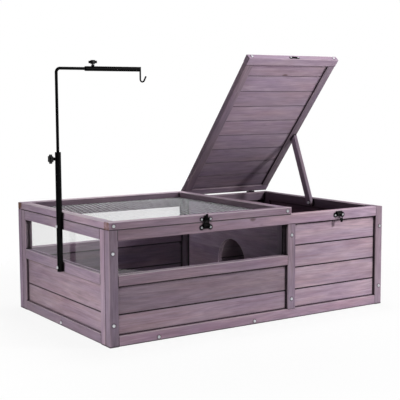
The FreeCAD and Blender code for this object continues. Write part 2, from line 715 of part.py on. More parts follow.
# Latches, at the middle of each lid
for name, span in (("mesh", MESH_LID_X), ("wood", WOOD_LID_X)):
    x = (span[0] + span[1]) / 2
    lid = name + "_lid"
    put("latch_plates", latch_plate(x))
    put(lid + "_keeper", keeper(x))
    closed = hasp(x)
    if name == "wood":
        closed = turned(closed, V(x, PIVOT_Y, LATCH_PIVOT_Z), RIGHTWARD, WOOD_HASP_OPEN)
    put(name + "_hasp", closed)
    for side in (-LATCH_SCREW_SPAN / 2, LATCH_SCREW_SPAN / 2):
        low = V(x + side, Y0 - LATCH_T, LATCH_Z)
        high = V(x + side, Y0 - LATCH_T, KEEPER_Z)
        fasten("hardware_screws", low, FORWARD, LATCH_T, ("latch_plates", "front_top_rail"), True)
        fasten(lid + "_screws", high, FORWARD, LATCH_T, (lid + "_keeper", lid + "_front_rail"), True)

# The wood lid stands open
WOOD_LID_NODES = [n for n in parts if n.startswith("wood_lid_")]
for name in WOOD_LID_NODES:
    parts[name] = [turned(s, V(0, HINGE_Y, HINGE_Z), LEFTWARD, WOOD_LID_OPEN) for s in parts[name]]

# Prop stick: it turns on a bolt in the right wall's top rail and its bevelled end lies under the open lid
lean = math.radians(PROP_LEAN)
prop_axis = V(math.cos(lean), 0, -math.sin(lean))
pivot = V(IN_X1 - PROP_OFF, PROP_Y, BODY_H - PROP_DROP)
stick_l = DEPTH
stick = box(-PROP_T / 2, PROP_T / 2, -PROP_W / 2, PROP_W / 2, 0, stick_l)
stick = stick.fuse(rod(V(-PROP_T / 2, 0, 0), RIGHTWARD, PROP_W / 2, PROP_T)).removeSplitter()
stick = stick.cut(rod(V(-PROP_T, 0, 0), RIGHTWARD, PROP_BOLT_R + RUN_GAP, 2 * PROP_T))
stick = turned(stick, V(0, 0, 0), LEFTWARD, PROP_BACK)
stick = turned(stick, V(0, 0, 0), V(0, 1, 0), PROP_LEAN)
stick.translate(pivot)
under = box(X0, X1 + LENGTH, Y0 - LENGTH, HINGE_Y, LID_Z0 - PROP_GAP, LID_Z0 + LENGTH)
under = turned(under, V(0, HINGE_Y, HINGE_Z), LEFTWARD, WOOD_LID_OPEN)
behind = box(X0, X1 + LENGTH, HINGE_Y - 1, HINGE_Y + LENGTH, 0, 3 * LENGTH)
stick = stick.cut(under).cut(behind)
stick = [s for s in stick.Solids if s.isInside(pivot.add(V(0, 0, PROP_BOLT_R + 2)), 0.01, True)][0]
put("prop_stick", stick)

head_at = -PROP_T / 2 - PROP_SIDE_GAP
bolt_l = -head_at + PROP_OFF / math.cos(lean) + PROP_BOLT_BITE
bolt = rod(pivot + prop_axis * head_at, prop_axis, PROP_BOLT_R, bolt_l)
bolt = bolt.fuse(
    rod(pivot + prop_axis * (head_at - PROP_BOLT_HEAD_H), prop_axis, PROP_BOLT_HEAD_R, PROP_BOLT_HEAD_H)
)
collar = rod(pivot + prop_axis * (PROP_T / 2 + PROP_SIDE_GAP), prop_axis, PROP_COLLAR_R, PROP_BOLT_BITE)
room = box(X0, IN_X1, Y0, Y1, 0, BODY_H)
put("prop_bolt", bolt.fuse(collar.common(room)).removeSplitter().Solids[0])
cut_from(
    ("right_top_rail",),
    rod(pivot, prop_axis, PROP_BOLT_R + SCREW_GAP, bolt_l + head_at + SCREW_GAP),
)

# Lamp post tube with a narrow neck, and the boss of its clamp
UP = V(0, 0, 1)


def lamp_point(out, z):
    return V(LAMP_X + out, LAMP_Y, z)


tube = rod(lamp_point(0, TUBE_LOW), UP, TUBE_R, TUBE_TOP - TUBE_LOW)
tube = tube.fuse(rod(lamp_point(0, HEIGHT_KNOB_Z), LEFTWARD, BOSS_R, TUBE_R + BOSS_H))
tube = tube.cut(rod(lamp_point(0, TUBE_LOW - 1), UP, TUBE_BORE_R, TUBE_TOP - TUBE_NECK_H - TUBE_LOW + 1))
tube = tube.cut(rod(lamp_point(0, TUBE_LOW), UP, ROD_R + RUN_GAP, TUBE_TOP - TUBE_LOW + 1))
tube = tube.cut(rod(lamp_point(0, HEIGHT_KNOB_Z), LEFTWARD, STEM_R + RUN_GAP, TUBE_R + BOSS_H + 1))
put("lamp_post_tube", tube.Solids[0])
lamp_screws = ((MID_Z + LAMP_SCREW_UP, "left_mid_rail"), (BODY_H - LAMP_SCREW_DROP, "left_top_rail"))
for z, rail in lamp_screws:
    fasten("frame_screws", lamp_point(-TUBE_R, z), RIGHTWARD, 2 * TUBE_R, ("lamp_post_tube", rail))

# Lamp rod: it turns in the bush that slides in the tube, bends over the house and carries the arm tube
bush_z = ROD_FOOT_Z + ROD_COLLAR_H + BUSH_END_GAP
bush = rod(lamp_point(0, bush_z), UP, TUBE_BORE_R - RUN_GAP, BUSH_H)
put("rod_guide_bush", bush.cut(rod(lamp_point(0, bush_z - 1), UP, ROD_R + RUN_GAP, BUSH_H + 2)).Solids[0])
bend_low = ARM_Z - ROD_BEND_R
corner = ROD_BEND_R * (1 - math.sqrt(0.5))
path = Part.Wire(
    [
        Part.LineSegment(lamp_point(0, ROD_FOOT_Z), lamp_point(0, bend_low)).toShape(),
        Part.Arc(
            lamp_point(0, bend_low), lamp_point(corner, ARM_Z - corner), lamp_point(ROD_BEND_R, ARM_Z)
        ).toShape(),
        Part.LineSegment(lamp_point(ROD_BEND_R, ARM_Z), lamp_point(ARM_START + ARM_ROD_IN, ARM_Z)).toShape(),
    ]
)
ring = Part.Wire([Part.makeCircle(ROD_R, lamp_point(0, ROD_FOOT_Z), UP)])
lamp_rod = path.makePipeShell([ring], True, False)
lamp_rod = lamp_rod.fuse(rod(lamp_point(0, ROD_FOOT_Z), UP, ROD_COLLAR_R, ROD_COLLAR_H))
collar_z = bush_z + BUSH_H + BUSH_END_GAP
lamp_rod = lamp_rod.fuse(rod(lamp_point(0, collar_z), UP, ROD_COLLAR_R, ROD_COLLAR_H))
put("lamp_rod", lamp_rod.Solids[0])

# Arm tube, open at the rod's end, with the hook seated across its closed end
arm = rod(lamp_point(ARM_START, ARM_Z), RIGHTWARD, ARM_R, ARM_END - ARM_START)
arm = arm.fuse(rod(lamp_point(ARM_KNOB_OUT, ARM_Z), UP, BOSS_R, ARM_R + BOSS_H))
arm = arm.cut(rod(lamp_point(ARM_START - 1, ARM_Z), RIGHTWARD, ROD_R + RUN_GAP, ARM_L - ARM_PLUG + 1))
arm = arm.cut(rod(lamp_point(ARM_KNOB_OUT, ARM_Z), UP, STEM_R + RUN_GAP, ARM_R + BOSS_H + 1))
hook_x = ARM_END + HOOK_R - HOOK_SEAT
arm = arm.cut(rod(lamp_point(hook_x, ARM_Z - ARM_R - 1), UP, HOOK_R + SCREW_GAP, 2 * ARM_R + 2))
put("lamp_arm_tube", arm.Solids[0])
turn = math.radians(HOOK_TURN)
bend_z = ARM_Z - HOOK_DROP
bend_x = hook_x + HOOK_BEND_R


def bend_point(angle):
    return lamp_point(bend_x - HOOK_BEND_R * math.cos(angle), bend_z - HOOK_BEND_R * math.sin(angle))


tip_dir = V(math.sin(turn), 0, -math.cos(turn))
hook_top = lamp_point(hook_x, ARM_Z + ARM_R)
hook_path = Part.Wire(
    [
        Part.LineSegment(hook_top, bend_point(0)).toShape(),
        Part.Arc(bend_point(0), bend_point(turn / 2), bend_point(turn)).toShape(),
        Part.LineSegment(bend_point(turn), bend_point(turn) + tip_dir * HOOK_TIP_L).toShape(),
    ]
)
hook = hook_path.makePipeShell([Part.Wire([Part.makeCircle(HOOK_R, hook_top, UP)])], True, False)
put("lamp_hook", hook)


def knob(stem_l):
    """A lobed clamp knob that stands on its stem. The stem's tip is at the origin and points down."""
    head = Part.makeCylinder(KNOB_R - KNOB_LOBE_R, KNOB_T, V(0, 0, stem_l))
    for i in range(KNOB_LOBES):
        angle = 2 * math.pi * i / KNOB_LOBES
        spot = V(math.cos(angle), math.sin(angle), 0) * (KNOB_R - KNOB_LOBE_R)
        head = head.fuse(Part.makeCylinder(KNOB_LOBE_R, KNOB_T, spot + V(0, 0, stem_l)))
    hub_z = stem_l - (KNOB_HUB_H - KNOB_T) / 2
    head = head.fuse(Part.makeCylinder(KNOB_HUB_R, KNOB_HUB_H, V(0, 0, hub_z)))
    return head.fuse(Part.makeCylinder(STEM_R, stem_l)).removeSplitter().Solids[0]


tip_r = ROD_R + STEM_TIP_GAP
for name, point, way, length in (
    ("height_knob", lamp_point(-tip_r, HEIGHT_KNOB_Z), LEFTWARD, TUBE_R + HEIGHT_KNOB_OFF - tip_r),
    ("arm_knob", lamp_point(ARM_KNOB_OUT, ARM_Z + tip_r), UP, ARM_R + ARM_KNOB_OFF - tip_r),
):
    piece = knob(length)
    piece.Placement = FreeCAD.Placement(point, FreeCAD.Rotation(UP, way))
    put(name, piece)

# Files
os.makedirs("parts", exist_ok=True)
for name, solids in parts.items():
    shape = solids[0] if len(solids) == 1 else Part.makeCompound(solids)
    if not shape.isValid():
        print("not valid:", name)
    shape.exportStep("parts/" + name + ".step")
print(len(parts), "pieces,", sum(len(s) for s in parts.values()), "solids")
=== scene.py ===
# %% [markdown]
# # A tortoise house, dressed for a portrait
# The solid model gives every timber, pane, hinge and tube its exact shape. This lesson gives them their
# looks: washed fir, clear acrylic, galvanised wire and black paint, in soft studio light.
# The solid model is loaded first.

# %% Load the frame
import bpy
import json
import math
from mathutils import Matrix, Vector


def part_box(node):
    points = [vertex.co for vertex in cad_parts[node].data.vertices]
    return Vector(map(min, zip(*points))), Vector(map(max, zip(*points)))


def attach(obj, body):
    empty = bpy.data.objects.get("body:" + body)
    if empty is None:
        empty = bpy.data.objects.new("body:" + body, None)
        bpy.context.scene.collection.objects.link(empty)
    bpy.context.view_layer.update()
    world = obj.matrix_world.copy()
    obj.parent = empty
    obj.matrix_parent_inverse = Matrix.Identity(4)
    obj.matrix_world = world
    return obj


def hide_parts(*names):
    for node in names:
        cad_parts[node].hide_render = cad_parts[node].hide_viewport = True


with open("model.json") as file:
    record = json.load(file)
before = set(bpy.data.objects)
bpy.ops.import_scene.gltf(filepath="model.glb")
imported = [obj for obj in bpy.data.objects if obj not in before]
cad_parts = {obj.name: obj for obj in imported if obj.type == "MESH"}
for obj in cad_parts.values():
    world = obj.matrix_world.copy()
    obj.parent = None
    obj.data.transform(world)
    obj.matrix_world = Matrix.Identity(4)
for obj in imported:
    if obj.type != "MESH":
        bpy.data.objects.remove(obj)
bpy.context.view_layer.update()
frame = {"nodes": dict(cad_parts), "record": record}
nodes = frame["nodes"]
scene = bpy.context.scene
scene.view_settings.view_transform = "Standard"
MM = 0.001
print("pieces in the frame:", len(nodes))

# %% [markdown]
# ## Camera
# The photograph was taken from the front left, a little above the lids. Its lens and place were worked out
# from the straight edges of the house. A camera looks along its own -Z axis, so the three axes of the view
# are written as the columns of its matrix, which is simpler than three angles.

# %% Camera
heading = math.radians(33.246)
pitch = math.radians(-6.194)
roll = math.radians(-0.280)
eye = Vector((-1.5228, -2.3173, 0.6181))
ahead = Vector((
    math.sin(heading) * math.cos(pitch), math.cos(heading) * math.cos(pitch), math.sin(pitch),
))
level = Vector((math.cos(heading), -math.sin(heading), 0))
upright = level.cross(ahead)
right = level * math.cos(roll) + upright * math.sin(roll)
up = right.cross(ahead)
lens = bpy.data.cameras.new("photo_camera")
lens.sensor_width = 36
lens.lens = 84.53
lens.clip_end = 50
camera = bpy.data.objects.new("photo_camera", lens)
scene.collection.objects.link(camera)
camera.matrix_world = Matrix((right, up, -ahead)).transposed().to_4x4()
camera.location = eye
scene.camera = camera
print("camera distance from the house:", round(eye.length, 2), "m")

# %% [markdown]
# ## Helpers for materials
# Colours are written as the hex values that a paint chart or a picture editor shows. Shaders work in linear
# light, so one function converts them. A second one adds a node, sets it up and links it, and a third one
# starts a material. That is all the code that the materials below need.
#
# Two nodes come up all the time, and their sockets are given by number. Map Range has its value in 0, the
# range that it comes from in 1 and 2, and the range that it goes to in 3 and 4, which is 0 to 1 if it isn't
# given. A colour Mix has its share in 0, its two colours in 6 and 7, and its result in output 2.

# %% Material helpers


def paint(code):
    """A hex colour as linear RGBA."""
    rgb = [int(code[i:i + 2], 16) / 255 for i in (1, 3, 5)]
    return [c / 12.92 if c <= 0.04045 else ((c + 0.055) / 1.055) ** 2.4 for c in rgb] + [1.0]


def add(tree, kind, wires=None, **settings):
    """A new node. wires maps its inputs to other nodes' outputs or to plain values."""
    made = tree.nodes.new(kind)
    for key, value in settings.items():
        setattr(made, key, value)
    for socket, source in (wires or {}).items():
        if isinstance(source, bpy.types.NodeSocket):
            tree.links.new(source, made.inputs[socket])
        else:
            made.inputs[socket].default_value = source
    return made


def new_material(name):
    """An empty material, with its node tree and its output node."""
    made = bpy.data.materials.new(name)
    made.use_nodes = True
    made.node_tree.nodes.clear()
    return made, made.node_tree, made.node_tree.nodes.new("ShaderNodeOutputMaterial")


WHITE = paint("#FFFFFF")
print("middle grey in linear light:", round(paint("#808080")[0], 3))

# %% [markdown]
# ## Studio floor
# The house stands on a sheet of white paper, a plane that is stretched and laid along the line of sight. Seen
# directly, or in the panes, the paper is plain white, which the Light Path node gives without throwing more
# light on the house. Near the house a tenth of its look is ordinary diffuse paint, so it still takes a soft
# shadow. Its right edge matters: it shows as a pale wedge in the front pane.

# %% Studio floor
PAPER_SIZE = (1.49, 7.0, 1)
PAPER_AHEAD = 3.9  # eye to the sheet's middle
PAPER_Z = -0.6 * MM


def select_none():
    """An operator acts on all that is selected, so a new piece starts with nothing selected."""
    bpy.ops.object.select_all(action="DESELECT")


select_none()
bpy.ops.mesh.primitive_plane_add(size=1)
paper = bpy.context.object
paper.name = "paper_floor"
bpy.ops.object.mode_set(mode="EDIT")
bpy.ops.transform.resize(value=PAPER_SIZE)
bpy.ops.object.mode_set(mode="OBJECT")
paper.rotation_euler = (0, 0, -heading)
paper.location = (
    eye.x + math.sin(heading) * PAPER_AHEAD, eye.y + math.cos(heading) * PAPER_AHEAD, PAPER_Z,
)
bpy.ops.object.transform_apply(location=True, rotation=True, scale=True)

# Matt paper: no gloss at all, white to the eye, with a faint shadow around the house
white_paper, tree, out = new_material("white_paper")
path = add(tree, "ShaderNodeLightPath").outputs
seen = add(tree, "ShaderNodeMath", {0: path["Is Camera Ray"], 1: path["Is Glossy Ray"]}, operation="MAXIMUM")
seen = add(tree, "ShaderNodeMath", {
    0: seen.outputs[0], 1: path["Is Transmission Ray"],
}, operation="MAXIMUM")
clean = add(tree, "ShaderNodeMath", {0: path["Diffuse Depth"], 1: 0.5}, operation="LESS_THAN")
seen = add(tree, "ShaderNodeMath", {0: seen.outputs[0], 1: clean.outputs[0]}, operation="MULTIPLY")
where = add(tree, "ShaderNodeTexCoord")
away = add(tree, "ShaderNodeVectorMath", {0: where.outputs["Object"]}, operation="LENGTH")
fade = add(tree, "ShaderNodeMapRange", {
    0: away.outputs["Value"], 1: 0.55, 2: 1.25, 3: 0.90, 4: 1.0,
}, interpolation_type="SMOOTHSTEP")
share = add(tree, "ShaderNodeMath", {0: seen.outputs[0], 1: fade.outputs[0]}, operation="MULTIPLY")
diffuse = add(tree, "ShaderNodeBsdfDiffuse", {"Color": paint("#F2F2F2")})
glow = add(tree, "ShaderNodeEmission", {"Color": WHITE, "Strength": 1.0})
blend = add(tree, "ShaderNodeMixShader", {0: share.outputs[0], 1: diffuse.outputs[0], 2: glow.outputs[0]})
tree.links.new(blend.outputs[0], out.inputs["Surface"])
paper.data.materials.append(white_paper)
print("paper:", PAPER_SIZE[0], "by", PAPER_SIZE[1], "m")

# %% [markdown]
# ## Studio room
# The room behind the house is white too, seen directly or through the panes, and almost black for the light
# that it sends. A mirror image is a third case: the backdrop stands behind the house, so only rays that leave
# a pane towards the back find it. In the left pane that gives a pale veil, with the lamp stand's tube as a dark
# bar in it, while the front pane, which looks back at the dark side of the studio, stays clear.

# %% Studio room
ROOM_LIGHT = 0.03
BACKDROP_IN_PANES = 0.38
world = bpy.data.worlds.new("studio")
scene.world = world
world.use_nodes = True
tree = world.node_tree
tree.nodes.clear()
path = add(tree, "ShaderNodeLightPath").outputs
bounces = add(tree, "ShaderNodeMath", {0: path["Diffuse Depth"], 1: path["Glossy Depth"]}, operation="ADD")
straight = add(tree, "ShaderNodeMath", {0: bounces.outputs[0], 1: 0.5}, operation="LESS_THAN")
seen = add(tree, "ShaderNodeMath", {
    0: path["Is Camera Ray"], 1: path["Is Transmission Ray"],
}, operation="MAXIMUM")
seen = add(tree, "ShaderNodeMath", {0: seen.outputs[0], 1: straight.outputs[0]}, operation="MULTIPLY")
where = add(tree, "ShaderNodeTexCoord")
behind = add(tree, "ShaderNodeVectorMath", {
    0: where.outputs["Generated"], 1: (math.sin(heading), math.cos(heading), 0),
}, operation="DOT_PRODUCT")
behind = add(tree, "ShaderNodeMapRange", {
    0: behind.outputs["Value"], 1: 0.15, 2: 0.30, 3: 0.0, 4: BACKDROP_IN_PANES,
})
mirrored = add(tree, "ShaderNodeMath", {
    0: behind.outputs[0], 1: path["Is Glossy Ray"],
}, operation="MULTIPLY")
clean = add(tree, "ShaderNodeMath", {0: path["Diffuse Depth"], 1: 0.5}, operation="LESS_THAN")
mirrored = add(tree, "ShaderNodeMath", {0: mirrored.outputs[0], 1: clean.outputs[0]}, operation="MULTIPLY")
seen = add(tree, "ShaderNodeMath", {0: seen.outputs[0], 1: mirrored.outputs[0]}, operation="MAXIMUM")
room = add(tree, "ShaderNodeBackground", {"Color": WHITE, "Strength": ROOM_LIGHT})
backdrop = add(tree, "ShaderNodeBackground", {"Color": WHITE, "Strength": 1.0})
blend = add(tree, "ShaderNodeMixShader", {0: seen.outputs[0], 1: room.outputs[0], 2: backdrop.outputs[0]})
tree.links.new(blend.outputs[0], add(tree, "ShaderNodeOutputWorld").inputs["Surface"])
print("nodes in the room:", len(tree.nodes))

# %% [markdown]
# ## Lamps
# A lamp on the right does most of the work, so the front grows darker to the left, and a weak one on the left
# lights the side wall. One from above and one from behind brighten the net, the tops of the rails and the
# house's back, and a soft spot picks out the upper half of the open lid. Area lamps give soft shadows for
# little noise. Only two of them may show as a gleam on glossy things, because the photograph shows no more.

# %% Lamps


def hang_lamp(name, kind, place, aim, power, gleams=False):
    """A lamp at a place, turned to a point that it lights."""
    lamp = bpy.data.objects.new(name, bpy.data.lights.new(name, kind))
    scene.collection.objects.link(lamp)
    lamp.data.energy = power
    lamp.location = place
    lamp.rotation_euler = (Vector(aim) - Vector(place)).to_track_quat("-Z", "Y").to_euler()
    lamp.visible_camera = False
    lamp.visible_glossy = gleams
    return lamp


hang_lamp("right_lamp", "AREA", (1.3, -1.6, 1.2), (0.2, -0.1, 0.2), 30, True).data.size = 0.3
hang_lamp("left_lamp", "AREA", (-1.4, -0.28, 0.3), (0.0, -0.1, 0.2), 7.8).data.size = 0.5
hang_lamp("top_lamp", "AREA", (0.3, 0.2, 2.2), (-0.2, 0.0, 0.2), 24).data.size = 0.8
hang_lamp("back_lamp", "AREA", (0.9, 2.1, 1.0), (0.1, 0.2, 0.2), 14, True).data.size = 0.8
lid_spot = hang_lamp("lid_spot", "SPOT", (0.5, -1.3, 0.55), (0.28, -0.08, 0.72), 26).data
lid_spot.spot_size = math.radians(36)
lid_spot.spot_blend = 1.0
lid_spot.shadow_soft_size = 0.1

# %% [markdown]
# ## Washed fir: whose board is it?
# The house is fir, planed and brushed with a thin grey-violet wash that lets the grain through. All of it came
# from the same pot, so one function will make the finish for every timber, in the steps that the next cells
# build. What differs is the direction of the grain: each material turns the Object coordinates until X runs
# along it, and scales them to millimetres, so every pattern can be written with sizes measured on a board.
#
# Boards in one wall are one piece of the frame. The row that a spot is in, its side of the house and the
# object index give random numbers, which shift the pattern from board to board and from piece to piece. An
# image of wood would need a drawing for each board, and would blur up close.

# %% Washed fir: boards
BOARD_SHIFT_MM = (900, 700, 500)  # as far as luck moves the pattern
ABOVE_ALL = 10  # metres, so that height never counts as a side


def lay_grain(tree, along, across):
    """Texture coordinates, the place in millimetres with X along the grain, and the facing turned alike."""
    along = Vector(along).normalized()
    across = Vector(across).normalized()
    turn = Matrix((along, across, along.cross(across))).to_euler()
    where = add(tree, "ShaderNodeTexCoord").outputs
    mm = add(tree, "ShaderNodeMapping", {
        "Vector": where["Object"], "Rotation": turn, "Scale": (1000, 1000, 1000),
    })
    face = add(tree, "ShaderNodeMapping", {"Vector": where["Normal"], "Rotation": turn}, vector_type="NORMAL")
    return where, mm.outputs[0], face.outputs[0]


def number_boards(tree, where, mm, piece, pitch_mm, first_mm, halves, split):
    """The pattern's own place on this board, its random numbers, and its tone if it isn't the lowest, which
    leaves the lowest row lighter as painted light from the floor.

    Rows start at first_mm. Timbers left and right of split, or in front and behind, differ if halves says so.
    """
    apart = add(tree, "ShaderNodeSeparateXYZ", {0: mm})
    row = add(tree, "ShaderNodeMath", {0: apart.outputs[1], 1: first_mm}, operation="SUBTRACT")
    row = add(tree, "ShaderNodeMath", {0: row.outputs[0], 1: pitch_mm or 1e6}, operation="DIVIDE")
    row = add(tree, "ShaderNodeMath", {0: row.outputs[0]}, operation="FLOOR")
    # Rows above the lowest take the fourth tone, so that the lowest row can stay lighter: painted light from
    # the floor.
    floor_light_tone = add(tree, "ShaderNodeMapRange", {0: row.outputs[0], 1: 0.0, 2: 1.0, 3: 1.0, 4: piece["Alpha"]})
    row = add(tree, "ShaderNodeMath", {0: row.outputs[0], 1: piece["Object Index"]}, operation="ADD")
    side = add(tree, "ShaderNodeVectorMath", {
        0: where["Object"], 1: (split, 0, ABOVE_ALL),
    }, operation="SUBTRACT")
    side = add(tree, "ShaderNodeVectorMath", {0: side.outputs[0]}, operation="SIGN")
    key = add(tree, "ShaderNodeVectorMath", {0: side.outputs[0], 1: (*halves, 0)}, operation="MULTIPLY")
    chance = add(tree, "ShaderNodeTexWhiteNoise", {
        "Vector": key.outputs[0], "W": row.outputs[0],
    }, noise_dimensions="4D")
    luck = add(tree, "ShaderNodeSeparateColor", {0: chance.outputs["Color"]})
    moved = add(tree, "ShaderNodeVectorMath", {
        0: chance.outputs["Color"], 1: BOARD_SHIFT_MM, 2: mm,
    }, operation="MULTIPLY_ADD")
    return moved.outputs[0], luck.outputs, floor_light_tone.outputs[0]


print("height of a boarded wall:", round(nodes["front_shelter_boards"].dimensions.z / MM), "mm")

# %% [markdown]
# ## Washed fir: patterns
# Six stretched noise patterns do most of the drawing, and their sizes are those of real marks on a board,
# along and across the grain. One of them, a slow field, is cut into growth layers 4.5 mm apart. Its contour
# lines are the pointed arches of a flat-sawn board. A Wave texture would be simpler, but its rings are too
# regular for a board that was sawn from a tree.

# %% Washed fir: patterns
LAYER_MM = 4.5
FIELD_DEPTH_MM = 52  # how deep the field reaches into the log
LAYER_LEAN = (0.0, 0.10, 0.75)  # layers cross a board mostly through its thickness
MARKS_MM = {
    "field": ((520, 40, 40), {"Detail": 1.5, "Roughness": 0.45}),  # growth of the tree
    "fibre": ((70, 1.1, 1.1), {"Detail": 2.0, "Roughness": 0.6}),  # fibres of the wood
    "coat": ((190, 28, 28), {"Detail": 3.0, "Roughness": 0.55, "Distortion": 0.4}),  # thick and thin wash
    "brush": ((260, 6, 6), {"Detail": 2.0, "Roughness": 0.5}),  # bristles of the brush
    "blot": ((60, 14, 14), {"Detail": 4.0, "Roughness": 0.6}),  # spots that drank more
    "bare": ((210, 55, 55), {"Detail": 2.0, "Roughness": 0.5}),  # where the tan wood shows through
}


def draw_marks(tree, moved):
    """The patterns of one board, by name, with the late wood of its growth layers."""
    marks = {}
    for name, (size, settings) in MARKS_MM.items():
        place = add(tree, "ShaderNodeVectorMath", {0: moved, 1: [1 / s for s in size]}, operation="MULTIPLY")
        noise = add(tree, "ShaderNodeTexNoise", {"Vector": place.outputs[0], "Scale": 1.0, **settings})
        marks[name] = noise.outputs[0]
    layers = add(tree, "ShaderNodeMath", {
        0: marks["field"], 1: FIELD_DEPTH_MM / LAYER_MM,
    }, operation="MULTIPLY")
    lean = add(tree, "ShaderNodeVectorMath", {
        0: moved, 1: [share / LAYER_MM for share in LAYER_LEAN],
    }, operation="DOT_PRODUCT")
    layers = add(tree, "ShaderNodeMath", {0: layers.outputs[0], 1: lean.outputs["Value"]}, operation="ADD")
    layers = add(tree, "ShaderNodeMath", {0: layers.outputs[0]}, operation="FRACT")
    late = add(tree, "ShaderNodeValToRGB", {0: layers.outputs[0]})
    late.color_ramp.elements[0].position = 0.25
    late.color_ramp.elements[0].color = (0, 0, 0, 1)
    late.color_ramp.elements[1].position = 0.86
    late.color_ramp.elements[1].color = (1, 1, 1, 1)
    late.color_ramp.elements.new(1.0).color = (0, 0, 0, 1)
    marks["late"] = late.outputs[0]
    return marks


print("marks on a board:", len(MARKS_MM) + 1)

# %% [markdown]
# ## Washed fir: knots
# A branch leaves a knot, a small dark disc that the saw stretched along the grain. Knots are a few cells of a
# Voronoi pattern: at most one in a stretch of 300 by 60 mm, and only in one stretch of six. The core is 6 mm
# wide and fades out at 18 mm. Drawing them one by one would fix their places, and the boards would look alike.

# %% Washed fir: knots
KNOT_CELL_MM = (300, 60, 60)
KNOT_STRETCH = 1.6
KNOT_CORE_MM, KNOT_FADE_MM = 3.0, 9.0  # from its middle
KNOT_SHARE = 0.17
KNOT_STRENGTH = 0.75


def draw_knots(tree, moved):
    """How much of a knot there is at each spot of a board."""
    cell = add(tree, "ShaderNodeVectorMath", {
        0: moved, 1: [1 / s for s in KNOT_CELL_MM],
    }, operation="MULTIPLY")
    spots = add(tree, "ShaderNodeTexVoronoi", {"Vector": cell.outputs[0], "Scale": 1.0, "Randomness": 0.9})
    away = add(tree, "ShaderNodeVectorMath", {
        0: cell.outputs[0], 1: spots.outputs["Position"],
    }, operation="SUBTRACT")
    away = add(tree, "ShaderNodeVectorMath", {
        0: away.outputs[0], 1: (KNOT_CELL_MM[0] / KNOT_STRETCH, *KNOT_CELL_MM[1:]),
    }, operation="MULTIPLY")
    away = add(tree, "ShaderNodeVectorMath", {0: away.outputs[0]}, operation="LENGTH")
    pick = add(tree, "ShaderNodeSeparateColor", {0: spots.outputs["Color"]})
    few = add(tree, "ShaderNodeMath", {0: pick.outputs[0], 1: 1 - KNOT_SHARE}, operation="GREATER_THAN")
    knot = add(tree, "ShaderNodeMapRange", {
        0: away.outputs["Value"], 1: KNOT_FADE_MM, 2: KNOT_CORE_MM,
    }, interpolation_type="SMOOTHSTEP")
    knot = add(tree, "ShaderNodeMath", {0: knot.outputs[0], 1: few.outputs[0]}, operation="MULTIPLY")
    knot = add(tree, "ShaderNodeMath", {0: knot.outputs[0], 1: KNOT_STRENGTH}, operation="MULTIPLY")
    return knot.outputs[0]


print("knots in a square metre:", round(1e6 * KNOT_SHARE / (KNOT_CELL_MM[0] * KNOT_CELL_MM[1])))

# %% [markdown]
# ## Washed fir: colour
# The wash moves between a thin coat and a full one, with paler brush lines over it. Late wood, fibres and
# blots make it darker or lighter, knots are brown, and here and there the tan of the bare wood comes through.
# Mixing a few colours by such masks is how a painter would glaze it, and each layer can be tuned by itself.

# %% Washed fir: colour


def brush_wash(tree, marks, knots, luck, thin_coat, full_coat):
    """The colour of the wash on a board, before light, wear and dirt change it."""
    thick = add(tree, "ShaderNodeMapRange", {0: marks["coat"], 1: 0.34, 2: 0.68})
    colour = add(tree, "ShaderNodeMix", {
        0: thick.outputs[0], 6: paint(thin_coat), 7: paint(full_coat),
    }, data_type="RGBA")
    stripe = add(tree, "ShaderNodeMapRange", {0: marks["brush"], 1: 0.35, 2: 0.70, 3: 0.0, 4: 0.55})
    colour = add(tree, "ShaderNodeMix", {
        0: stripe.outputs[0], 6: colour.outputs[2], 7: paint("#A696A8"),
    }, data_type="RGBA")
    dark = add(tree, "ShaderNodeMath", {0: marks["late"], 1: 0.22}, operation="MULTIPLY")
    colour = add(tree, "ShaderNodeMix", {
        0: dark.outputs[0], 6: colour.outputs[2], 7: paint("#7C6777"),
    }, data_type="RGBA")
    hair = add(tree, "ShaderNodeMapRange", {0: marks["fibre"], 1: 0.30, 2: 0.70, 3: 0.80, 4: 1.15})
    colour = add(tree, "ShaderNodeVectorMath", {0: colour.outputs[2], 3: hair.outputs[0]}, operation="SCALE")
    blot = add(tree, "ShaderNodeMapRange", {0: marks["blot"], 1: 0.30, 2: 0.70, 3: 0.86, 4: 1.09})
    colour = add(tree, "ShaderNodeVectorMath", {0: colour.outputs[0], 3: blot.outputs[0]}, operation="SCALE")
    colour = add(tree, "ShaderNodeMix", {
        0: knots, 6: colour.outputs[0], 7: paint("#5E4A4C"),
    }, data_type="RGBA")

    # Board to board, the tone differs by a few percent, and so does how much tan wood shows
    level = add(tree, "ShaderNodeMapRange", {0: luck[0], 3: 0.90, 4: 1.08})
    colour = add(tree, "ShaderNodeVectorMath", {0: colour.outputs[2], 3: level.outputs[0]}, operation="SCALE")
    bare = add(tree, "ShaderNodeMath", {0: luck[1], 1: 0.12, 2: marks["bare"]}, operation="MULTIPLY_ADD")
    bare = add(tree, "ShaderNodeMapRange", {0: bare.outputs[0], 1: 0.46, 2: 0.76, 3: 0.0, 4: 0.50})
    tan = add(tree, "ShaderNodeVectorMath", {0: colour.outputs[0], 1: (1.08, 0.98, 0.86)}, operation="MULTIPLY")
    colour = add(tree, "ShaderNodeMix", {
        0: bare.outputs[0], 6: colour.outputs[0], 7: tan.outputs[0],
    }, data_type="RGBA")
    return colour.outputs[2]


print("thin coat to the eye:", [round(c, 3) for c in paint("#98839A")[:3]])

# %% [markdown]
# ## Washed fir: tone of each piece
# No two timbers took the wash alike, and part of each tone is painted light. The object's own colour carries
# four
# numbers for it: the tone at the house's left end, the tone at its right end, the share of blue, and the tone
# of the boards above the lowest. A ramp from left to right along the front adds painted light to the fall of
# the right lamp's light. Where the boards above are darker, the lowest row stays lighter as painted light from
# the floor. A surface that faces the middle of the house is darker, as painted shade for its dim inside. The
# lid is painted darker towards its hinge and lighter towards its upper edge, as painted light. Writing that
# into the object's colour keeps one material for all timbers of a kind, where a material for each piece would
# repeat all these nodes.

# %% Washed fir: tones
HALF_LENGTH = 0.46


